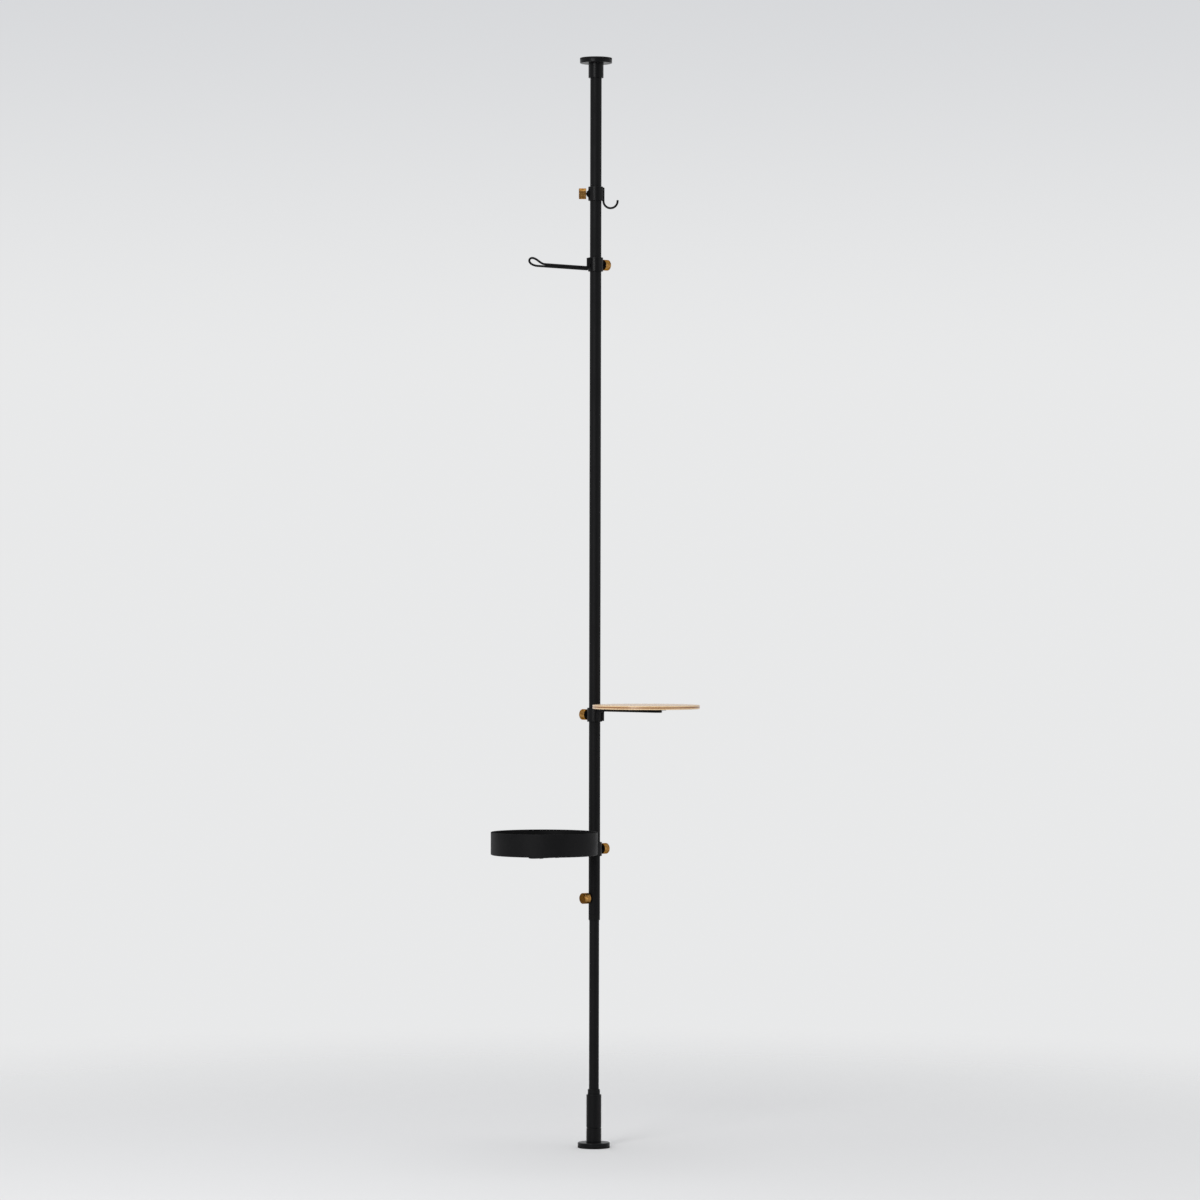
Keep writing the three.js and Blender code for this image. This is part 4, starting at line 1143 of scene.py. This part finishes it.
class Route:
    """The centreline of a wire: feed straight, bend, feed on."""

    def __init__(self, start, heading):
        self.points = [Vector(start)]
        self.headings = [Vector(heading)]

    def add(self, point, heading):
        self.points.append(point)
        self.headings.append(heading.normalized())
        return self

    def feed(self, length):
        heading = self.headings[-1]
        return self.add(self.points[-1] + heading * length, heading)

    def bend(self, toward, radius, angle):
        start, heading = self.points[-1], self.headings[-1]
        steps = round(angle / QUARTER * BEND_STEPS_PER_QUARTER)
        for step in range(1, steps + 1):
            turn = angle * step / steps
            way = heading * math.sin(turn) + toward * (1 - math.cos(turn))
            self.add(start + way * radius, heading * math.cos(turn) + toward * math.sin(turn))
        return self

    def sweep(self, end, heading, pull_out, pull_in):
        start, leaving = self.points[-1], self.headings[-1]
        early, late = start + leaving * pull_out, end - heading * pull_in
        for step in range(1, SWEEP_STEPS + 1):
            t = step / SWEEP_STEPS
            s = 1 - t
            point = start * s**3 + early * 3 * s * s * t + late * 3 * s * t * t + end * t**3
            way = (early - start) * s * s + (late - early) * 2 * s * t + (end - late) * t * t
            self.add(point, way)
        return self


# %% A wire's skin
WIRE_FACES = 28
END_EASE = mm(0.7)
END_EASE_SHARE = 0.6  # the most of a wire's radius that its end may lose
END_STEPS = 4


def wire_rings(route, radius):
    """(point, heading, radius) of every ring, with both ends eased."""
    ease = min(END_EASE, radius * END_EASE_SHARE)
    rings = [(p, h, radius) for p, h in zip(route.points, route.headings)]
    for at_start in (True, False):
        point, heading, _ = rings[0] if at_start else rings[-1]
        outward = -heading if at_start else heading
        cap = []
        for step in range(END_STEPS + 1):
            turn = QUARTER * step / END_STEPS
            place = point - outward * ease * (1 - math.sin(turn))
            cap.append((place, heading, radius - ease * (1 - math.cos(turn))))
        if at_start:
            rings = cap[::-1] + rings[1:]
        else:
            rings = rings[:-1] + cap
    return rings


def wire_mesh(route, radius, ripple=None):
    """Carries a round section along a route without twisting it."""
    mesh = bmesh.new()
    rings = []
    across = route.headings[0].orthogonal().normalized()
    for index, (point, heading, reach) in enumerate(wire_rings(route, radius)):
        across = (across - heading * across.dot(heading)).normalized()
        other = heading.cross(across)
        if ripple:
            reach *= ripple(index)
        ring = []
        for face in range(WIRE_FACES):
            angle = 2 * math.pi * face / WIRE_FACES
            way = across * math.cos(angle) + other * math.sin(angle)
            ring.append(mesh.verts.new(point + way * reach))
        rings.append(ring)
    return skin(mesh, rings, capped=True)


# %% Weld beads
BEAD_RADIUS = mm(1.15)
BEAD_STEP = mm(0.45)
BEAD_FEWEST_STEPS = 6
BEAD_RIPPLE = 0.07
BEAD_RIPPLE_ROWS = 5
BEAD_FROM_WIRE, BEAD_PROUD = 0.6, 0.35  # shares of its radius, so that it sinks into what it joins


def bead_mesh(start, end, radius=BEAD_RADIUS):
    """A weld bead laid in a straight line, with the ripples of its puddles."""
    start, end = Vector(start), Vector(end)
    length = (end - start).length
    route = Route(start, (end - start).normalized())
    steps = max(BEAD_FEWEST_STEPS, round(length / BEAD_STEP))
    for _ in range(steps):
        route.feed(length / steps)

    def ripple(index):
        return 1 + BEAD_RIPPLE * math.sin(2 * math.pi * index / BEAD_RIPPLE_ROWS)

    return wire_mesh(route, radius, ripple)


def joined(meshes):
    """Several closed meshes as one."""
    whole = bmesh.new()
    for mesh in meshes:
        data = bpy.data.meshes.new("part")
        mesh.to_mesh(data)
        mesh.free()
        whole.from_mesh(data)
        bpy.data.meshes.remove(data)
    return whole


# %% [markdown]
# ## Hook
#
# One wire, let into the side of its collar and bent to a half circle below it. It is welded down both
# sides of the collar's groove, and the coat covers the welds.

# %% Hook wire
LEG_INSET = mm(1.8)
HOOK_BEND_DIAMETER = mm(33)
HOOK_TIP_RISE = mm(2.4)
HOOK_BEAD_BASE, HOOK_BEAD_TOP = mm(2), mm(3.5)  # in from the collar's two ends
hook_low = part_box("hook_wire")[0]
hook_middle = frames["hook"].translation.z
hook_bend_drop = hook_middle - (hook_low.z + WIRE_RADIUS + HOOK_BEND_DIAMETER / 2)
leg_top = collar_half - LEG_INSET

hook_route = Route((HOOK_LEG_DISTANCE, 0, leg_top), DOWN).feed(leg_top + hook_bend_drop)
hook_route.bend(AWAY, HOOK_BEND_DIAMETER / 2, HALF).feed(HOOK_TIP_RISE)
add_matt("hook_bent_wire", wire_mesh(hook_route, WIRE_RADIUS), "hook", ["hook_wire"], frames["hook"])


def bead_angle(leg_distance, bead_distance):
    """The angle at the pole's axis between a leg and the bead that fills the notch beside it."""
    gap = WIRE_RADIUS + BEAD_RADIUS * BEAD_FROM_WIRE
    cosine = (leg_distance**2 + bead_distance**2 - gap**2) / (2 * leg_distance * bead_distance)
    return math.acos(cosine)


def leg_beads(leg_distance, leg_angle, low, high):
    """Two beads, one down each side of a leg."""
    distance = collar_radius + BEAD_RADIUS * BEAD_PROUD
    beads = []
    for side in (-1, 1):
        angle = leg_angle + side * bead_angle(leg_distance, distance)
        x, y = distance * math.cos(angle), distance * math.sin(angle)
        beads.append(bead_mesh((x, y, low), (x, y, high)))
    return beads


bead_ends = HOOK_BEAD_BASE - collar_half, collar_half - HOOK_BEAD_TOP
hook_beads = leg_beads(HOOK_LEG_DISTANCE, 0, *bead_ends)
add_matt("hook_weld_beads", joined(hook_beads), "hook", [], frames["hook"])
print("hook drop", round(hook_bend_drop * 1000, 1), "mm")

# %% [markdown]
# ## Hanging arm
#
# The arm is one long wire doubled back on itself, one run over the other. At the tip the bend opens into
# an eye that rises above the runs, so that what hangs there can't slide off. The two ends turn up along
# the collar, one outside the other.

# %% Arm wire
ARM_REACH = mm(214.8)
ARM_RUN_DROP = mm(10.1)
ARM_SPACING = WIRE_RADIUS * 2 + mm(0.2)
ARM_BEND_RADIUS = mm(5)
EYE_LENGTH = mm(49.6)
EYE_CREST_RISE = mm(12.3)
EYE_CREST_SETBACK = mm(9.6)
EYE_TIP_RISE = mm(10.8)
EYE_SOLE_LENGTH = mm(26.6)
QUARTER_PULL = 0.55
EASE_PULL = 0.38

wire_seat = collar_radius + mm(0.3) + WIRE_RADIUS
outer_leg = wire_seat + ARM_SPACING
upper_run = ARM_SPACING / 2 - ARM_RUN_DROP
lower_run = upper_run - ARM_SPACING
tip = ARM_REACH - WIRE_RADIUS
crest_run = EYE_LENGTH - EYE_CREST_SETBACK
crest = Vector((tip - EYE_CREST_SETBACK, 0, upper_run + EYE_CREST_RISE))
nose = Vector((tip, 0, lower_run + EYE_TIP_RISE))
sole = Vector((tip - EYE_SOLE_LENGTH, 0, lower_run))

arm_route = Route((outer_leg, 0, leg_top), DOWN)
arm_route.feed(leg_top - upper_run - ARM_BEND_RADIUS).bend(AWAY, ARM_BEND_RADIUS, QUARTER)
arm_route.feed(tip - EYE_LENGTH - outer_leg - ARM_BEND_RADIUS)
arm_route.sweep(crest, AWAY, EASE_PULL * crest_run, EASE_PULL * crest_run)
arm_route.sweep(nose, DOWN, QUARTER_PULL * EYE_CREST_SETBACK, QUARTER_PULL * (crest.z - nose.z))
arm_route.sweep(sole, BACK, QUARTER_PULL * EYE_TIP_RISE, QUARTER_PULL * EYE_SOLE_LENGTH)
inner_bend = ARM_BEND_RADIUS + ARM_SPACING
arm_route.feed(sole.x - wire_seat - inner_bend).bend(UP, inner_bend, QUARTER)
arm_route.feed(leg_top - lower_run - inner_bend)
add_matt("arm_bent_wire", wire_mesh(arm_route, WIRE_RADIUS), "arm", ["arm_wire"], frames["arm"])

# %% [markdown]
# The two runs of the arm touch along their whole length, and the coat closes the hairline between them.
# A thin seam along that line does the same here, so no light shows through.

# %% Arm welds
SEAM_RADIUS = mm(0.8)
ARM_BEAD_RADIUS = mm(0.85)
ARM_BEAD_BESIDE = WIRE_RADIUS * 0.72  # out to each side of the plane in which the wire is bent
ARM_BEAD_BASE = mm(1)  # above the collar's middle
ARM_BEAD_INSET = mm(2)  # above the collar's middle, and down from the top of the legs
ARM_TACKS = (mm(60), mm(150))  # from the pole's axis
ARM_TACK_LENGTH = mm(9)

seam_top = leg_top - mm(1.5)
arm_beads = leg_beads(wire_seat, 0, ARM_BEAD_BASE, seam_top)
seam = (wire_seat + outer_leg) / 2
level = (upper_run + lower_run) / 2
for side in (-1, 1):
    beside = side * ARM_BEAD_BESIDE
    runs = [((seam, beside, ARM_BEAD_INSET), (seam, beside, leg_top - ARM_BEAD_INSET))]
    runs += [((start, beside, level), (start + ARM_TACK_LENGTH, beside, level)) for start in ARM_TACKS]
    arm_beads += [bead_mesh(*ends, ARM_BEAD_RADIUS) for ends in runs]
seam_route = Route((seam, 0, seam_top), DOWN)
seam_bend = (ARM_BEND_RADIUS + inner_bend) / 2
seam_route.feed(seam_top - level - seam_bend).bend(AWAY, seam_bend, QUARTER)
seam_route.feed(tip - EYE_LENGTH - seam - seam_bend)
arm_beads.append(wire_mesh(seam_route, SEAM_RADIUS))
add_matt("arm_weld_beads", joined(arm_beads), "arm", [], frames["arm"])
print("arm reaches", round(ARM_REACH * 1000, 1), "mm from the pole's axis")

# %% [markdown]
# ## Brackets
#
# Shelf and tray stand on the same bracket: a flat loop of wire whose ends turn along the collar. The
# shelf's loop lies on top of its legs and the tray's is turned over. A plate is welded across the loop.
# It is 3 mm thick under the shelf and 1.5 mm under the tray, and three screws go through it.

# %% Bracket wire
BRACKET_SIDE = mm(9.5)
RUN_OFFSET = {"shelf": mm(10.6), "tray": mm(12.7)}  # from the middle of the collar
BRACKET_BEND_RADIUS = mm(6)
BRACKET_PAST_CENTRE = mm(45.8)
OVER = {"shelf": Matrix.Identity(4), "tray": Matrix.Rotation(math.pi, 4, "X")}
CARRIED = {"shelf": "shelf_disc", "tray": "tray_pan"}
PLATE_LENGTH, PLATE_WIDTH, PLATE_CORNER = mm(90), mm(46), mm(6)
BRACKET_BEAD_BASE = LEG_INSET + mm(1)  # above the collar's lower end
BRACKET_BEAD_TOP = mm(4)  # above the collar's middle
TACK_RADIUS, TACK_LENGTH = mm(0.9), mm(12)
TACK_STARTS = (-PLATE_LENGTH / 2 + mm(8), mm(14))  # from the plate's middle
TACK_OUT, TACK_UP = WIRE_RADIUS * 0.62, WIRE_RADIUS * 0.86  # from the wire's middle
bracket_leg = math.sqrt(wire_seat**2 - BRACKET_SIDE**2)


def middle_of(name):
    """The middle of a node's box."""
    low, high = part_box(name)
    return (low + high) / 2


def reach_of(owner):
    """The distance from the pole's axis to the middle of the disc or pan."""
    middle = middle_of(CARRIED[owner])
    return math.hypot(middle.x, middle.y)


def bracket_route(owner):
    leg_end = LEG_INSET - collar_half
    leg = RUN_OFFSET[owner] - leg_end - BRACKET_BEND_RADIUS
    loop_end = reach_of(owner) + BRACKET_PAST_CENTRE - WIRE_RADIUS
    run = loop_end - BRACKET_SIDE - bracket_leg - BRACKET_BEND_RADIUS
    route = Route((bracket_leg, -BRACKET_SIDE, leg_end), UP).feed(leg)
    route.bend(AWAY, BRACKET_BEND_RADIUS, QUARTER).feed(run).bend(SIDE, BRACKET_SIDE, HALF)
    return route.feed(run).bend(DOWN, BRACKET_BEND_RADIUS, QUARTER).feed(leg)


def bracket_beads(owner):
    """Beads down both sides of each leg, and tacks between loop and plate."""
    beads = []
    for side in (-1, 1):
        angle = side * math.atan2(BRACKET_SIDE, bracket_leg)
        beads += leg_beads(wire_seat, angle, BRACKET_BEAD_BASE - collar_half, BRACKET_BEAD_TOP)
        y, z = side * (BRACKET_SIDE + TACK_OUT), RUN_OFFSET[owner] + TACK_UP
        for along in TACK_STARTS:
            x = reach_of(owner) + along
            beads.append(bead_mesh((x, y, z), (x + TACK_LENGTH, y, z), TACK_RADIUS))
    return beads


# %% Plate and screws
SCREW_ALONG, SCREW_ACROSS = mm(35), mm(17)
PLATE_SCREWS = [(SCREW_ALONG, 0), (-SCREW_ALONG, SCREW_ACROSS), (-SCREW_ALONG, -SCREW_ACROSS)]
CORNER_STEPS = 10
EDGE_EASE = mm(0.35)
HOLE_CLEARANCE = mm(0.3)
HEAD_RADIUS = {"shelf": mm(3.5), "tray": mm(4.25)}
HEAD_HEIGHT = mm(2.2)
HEAD_SIDE, HEAD_CROWN = 0.45, 0.62  # shares of its height and radius where its dome starts and ends
SOCKET_MOUTH = 1.2  # share of its half flat
SOCKET_CHAMFER, SOCKET_FLOOR = mm(0.15), -mm(0.7)
SHANK_RADIUS = {"shelf": mm(1.75), "tray": mm(2)}
SOCKET_HALF_FLAT = {"shelf": mm(1.25), "tray": mm(1.5)}


def plate_mesh(thickness):
    """A flat plate with round corners and eased edges, its underside at zero height."""
    mesh = bmesh.new()
    layers = [(EDGE_EASE, 0), (0, EDGE_EASE), (0, thickness - EDGE_EASE), (EDGE_EASE, thickness)]
    rings = []
    for inset, level in layers:
        ring = []
        for corner in range(4):
            turn = corner * QUARTER
            along = (PLATE_LENGTH / 2 - PLATE_CORNER) * (1 if corner in (0, 3) else -1)
            across = (PLATE_WIDTH / 2 - PLATE_CORNER) * (1 if corner in (0, 1) else -1)
            for step in range(CORNER_STEPS + 1):
                angle = turn + QUARTER * step / CORNER_STEPS
                x = along + (PLATE_CORNER - inset) * math.cos(angle)
                y = across + (PLATE_CORNER - inset) * math.sin(angle)
                ring.append(mesh.verts.new((x, y, level)))
        rings.append(ring)
    return skin(mesh, rings, capped=True)


def drilled(mesh, holes, radius, thickness):
    """The same mesh with a round hole at each (x, y)."""
    for x, y in holes:
        rod = plain_rod(radius, -thickness, thickness * 2, faces=SMALL_FACES)
        mesh = cut(mesh, rod, Matrix.Translation((x, y, 0)))
    return mesh


def screw_mesh(head, shank, socket, length):
    """A round-headed screw with a six-sided socket. Its head hangs below zero, its shank stands above."""

    def six_sided(angle):
        return socket / math.cos((angle + HALF / 6) % (HALF / 3) - HALF / 6)

    corners = [
        (0, length, 0),
        (shank, length, EASE),
        (shank, 0, 0),
        (head, 0, FINE_EASE),
        (head, -HEAD_HEIGHT * HEAD_SIDE, mm(0.5)),
        (head * HEAD_CROWN, -HEAD_HEIGHT, SOFT_EASE),
        (socket * SOCKET_MOUTH, -HEAD_HEIGHT, 0),
    ]
    outline = eased(corners, closed=False) + [(six_sided, SOCKET_CHAMFER - HEAD_HEIGHT)]
    return turned(outline + [(six_sided, SOCKET_FLOOR), (0, SOCKET_FLOOR)], faces=MEDIUM_FACES)


# %% Put the brackets together
def screw_length(node_name):
    """How far a screw's shank stands out from under its head."""
    low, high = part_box(node_name)
    return high.z - low.z - HEAD_HEIGHT


def add_bracket(owner):
    place = frames[owner] @ OVER[owner]
    wire = wire_mesh(bracket_route(owner), WIRE_RADIUS)
    add_matt(f"{owner}_bent_bracket", wire, owner, [f"{owner}_bracket"], place)
    add_matt(f"{owner}_weld_beads", joined(bracket_beads(owner)), owner, [], place)
    hole = SHANK_RADIUS[owner] + HOLE_CLEARANCE
    low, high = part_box(f"{owner}_plate")
    thickness = high.z - low.z
    plate = drilled(plate_mesh(thickness), PLATE_SCREWS, hole, thickness)
    lift = low.z - frames[owner].translation.z
    plate_place = frames[owner] @ Matrix.Translation((reach_of(owner), 0, lift))
    add_matt(f"{owner}_pressed_plate", plate, owner, [f"{owner}_plate"], plate_place)


def add_screws(owner):
    """Three screws: up through the shelf's plate, or down through the tray's floor."""
    for index, (x, y) in enumerate(PLATE_SCREWS, start=1):
        name = f"{owner}_screw_{index}"
        low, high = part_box(name)
        seat = low.z + HEAD_HEIGHT if owner == "shelf" else high.z - HEAD_HEIGHT
        lift = seat - frames[owner].translation.z
        place = frames[owner] @ Matrix.Translation((reach_of(owner) + x, y, lift)) @ OVER[owner]
        mesh = screw_mesh(
            HEAD_RADIUS[owner], SHANK_RADIUS[owner], SOCKET_HALF_FLAT[owner], screw_length(name)
        )
        add_piece(f"{owner}_socket_screw_{index}", mesh, owner, "black_steel", [name], place)


for owner in CARRIED:
    add_bracket(owner)
    add_screws(owner)
print("brackets made:", ", ".join(CARRIED))

# %% [markdown]
# ## Shelf and tray
#
# The shelf is a plain disc of plywood with its edges eased by sanding. The tray is pressed from sheet:
# a flat floor, a small radius round it, and an upright side whose top edge is rounded over.

# %% Shelf disc
DISC_FACES = 180
SHELF_EASE = mm(0.9)

disc_place = Matrix.Translation((*middle_of("shelf_disc").xy, shelf_base))
disc_corners = [
    (0, 0, 0),
    (disc_radius, 0, SHELF_EASE),
    (disc_radius, SHELF_THICKNESS, SHELF_EASE),
    (0, SHELF_THICKNESS, 0),
]
add_turned(
    "plywood_shelf", disc_corners, "shelf", "plywood", ["shelf_disc"], disc_place, faces=DISC_FACES
)
print("shelf", round(disc_radius * 2000), "mm across and", round(SHELF_THICKNESS * 1000, 1), "mm thick")

# %% Tray pan
TRAY_SHEET = mm(1.2)
TRAY_BEND = mm(3)
TRAY_RIM_EASE = TRAY_SHEET * 0.45

pan_base, pan_top, tray_radius = span("tray_pan")
pan_height = pan_top - pan_base
pan_place = Matrix.Translation((*middle_of("tray_pan").xy, pan_base))
pan_corners = [
    (0, 0, 0),
    (tray_radius, 0, TRAY_BEND),
    (tray_radius, pan_height, TRAY_RIM_EASE),
    (tray_radius - TRAY_SHEET, pan_height, TRAY_RIM_EASE),
    (tray_radius - TRAY_SHEET, TRAY_SHEET, TRAY_BEND - TRAY_SHEET),
    (0, TRAY_SHEET, 0),
]
pan_mesh = turned(eased(pan_corners, closed=False), faces=DISC_FACES)
pan_holes = [frames["tray"].to_3x3() @ Vector((x, y, 0)) for x, y in PLATE_SCREWS]
pan_hole = SHANK_RADIUS["tray"] + HOLE_CLEARANCE
pan_mesh = drilled(pan_mesh, [hole.xy for hole in pan_holes], pan_hole, TRAY_SHEET)
add_matt("tray_pressed_pan", pan_mesh, "tray", ["tray_pan"], pan_place)
print("tray", round(tray_radius * 2000), "mm across and", round(pan_height * 1000, 1), "mm high")

# %% [markdown]
# ## Light, floor and background
#
# A big soft lamp stands to the left of the camera and draws the pale streak down the cups and collars. A
# fainter one at the right catches the ends of the knobs and the shelf's edge, and one overhead lights the
# floor. The rest comes from a pale world. Behind the camera the room is dimmer, which only polished and
# coated surfaces notice: it keeps the brass rich and the black coat deep.
#
# The floor is a disc that fades out at its edge, so it shows the pole's soft shadow and no horizon.

# %% Lamps
LAMPS = {  # name: (place, aim, width, height, watts)
    "key_lamp": ((-1.9, -4.2, 2.2), (0, 0, 1.3), 1.5, 2.8, 90),
    "side_lamp": ((3.7, -1.5, 1.3), (0, 0, 1.2), 2.4, 2.8, 14),
    "overhead_lamp": ((-0.5, 0.4, 5.2), (0, 0.4, 0), 4.5, 4.5, 72),
}


def add_lamp(name, place, aim, width, height, power):
    data = bpy.data.lights.new(name, "AREA")
    data.shape = "RECTANGLE"
    data.size, data.size_y = width, height
    data.energy = power
    lamp = bpy.data.objects.new(name, data)
    lamp.location = place
    lamp.rotation_euler = (Vector(aim) - Vector(place)).to_track_quat("-Z", "Y").to_euler()
    scene.collection.objects.link(lamp)


for name, settings in LAMPS.items():
    add_lamp(name, *settings)
print("lamps made:", ", ".join(LAMPS))

# %% World
BACKGROUND = (0.81, 0.815, 0.82, 1)
BACKGROUND_OVERHEAD = (0.66, 0.67, 0.69, 1)
AMBIENT = 0.68
OVERHEAD_FROM, OVERHEAD_TO = math.sin(math.radians(2.5)), math.sin(math.radians(9))
ROOM_BEHIND = 0.35  # how much of the background polished metal sees behind the camera
BEHIND_FROM, BEHIND_TO = -0.95, -0.1  # the range of Y in which it fades in

world = bpy.data.worlds.new("pale_studio")
world.use_nodes = True
scene.world = world
sky = world.node_tree
sky.nodes.clear()
direction = node(sky, "ShaderNodeTexCoord").outputs["Generated"]
overhead = spread(sky, part_of(sky, direction, "Z"), OVERHEAD_FROM, OVERHEAD_TO, smooth=True)
paint = mix_colour(sky, overhead, BACKGROUND, BACKGROUND_OVERHEAD)
ahead = part_of(sky, direction, "Y")
mirrored = spread(sky, ahead, BEHIND_FROM, BEHIND_TO, ROOM_BEHIND, 1.0, smooth=True)
rays = node(sky, "ShaderNodeLightPath").outputs
plain = math_node(sky, "ADD", rays["Is Camera Ray"], rays["Is Transmission Ray"])
polished = math_node(sky, "MULTIPLY", rays["Is Glossy Ray"], mirrored)
seen = math_node(sky, "ADD", plain, rays["Is Glossy Ray"], clamp=True)
ambient = math_node(sky, "MULTIPLY", math_node(sky, "SUBTRACT", 1.0, seen), AMBIENT)
strength = math_node(sky, "ADD", math_node(sky, "ADD", plain, polished), ambient)
backdrop = node(sky, "ShaderNodeBackground", {"Color": paint, "Strength": strength}).outputs[0]
node(sky, "ShaderNodeOutputWorld", {"Surface": backdrop})
print("world made:", world.name)

# %% Floor
FLOOR_RADIUS = 3.2
FADE_FROM = 0.6
FLOOR_LIFT = 0.09  # extra light that only the camera sees, so the floor meets the background's tone
FLOOR_COLOUR = (0.80, 0.80, 0.80, 1)

floor = as_object("floor", turned([(0, 0), (FLOOR_RADIUS, 0)]))
floor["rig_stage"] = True

floor_finish, floor_tree, floor_shader = new_material(
    "pale_floor", specular=0.1, Roughness=0.9, Base_Color=FLOOR_COLOUR, Emission_Color=(1, 1, 1, 1)
)
from_pole = node(floor_tree, "ShaderNodeVectorMath", {0: object_place(floor_tree)}, operation="LENGTH")
distance = from_pole.outputs["Value"]
fade = spread(floor_tree, distance, FADE_FROM, FLOOR_RADIUS, 1.0, 0.0, smooth=True)
camera_ray = node(floor_tree, "ShaderNodeLightPath").outputs["Is Camera Ray"]
lift = math_node(floor_tree, "MULTIPLY", camera_ray, FLOOR_LIFT)
fill(floor_tree, floor_shader.inputs["Alpha"], fade)
fill(floor_tree, floor_shader.inputs["Emission Strength"], lift)
floor.data.materials.append(floor_finish)
print("floor made,", FLOOR_RADIUS * 2, "m across")

# %% [markdown]
# ## Last look at the sizes
#
# Every fine piece has to fill the same space as the solid it stands for. The boxes are compared, and the
# largest difference is printed.

# %% Compare each piece with its node
WORTH_NAMING = mm(0.5)

bpy.context.view_layer.update()
worst = 0.0
for piece in pieces_made:
    for name in piece.get("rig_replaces", []):
        low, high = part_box(name)
        corners = [piece.matrix_world @ vertex.co for vertex in piece.data.vertices]
        piece_low = Vector([min(corner[axis] for corner in corners) for axis in range(3)])
        piece_high = Vector([max(corner[axis] for corner in corners) for axis in range(3)])
        off = max(*[abs(v) for v in piece_low - low], *[abs(v) for v in piece_high - high])
        worst = max(worst, off)
        if off > WORTH_NAMING:
            print("differs by", round(off * 1000, 2), "mm:", piece.name)
print("largest difference", round(worst * 1000, 2), "mm over", len(pieces_made), "pieces")

# %% Bounds of the whole scene
low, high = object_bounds()
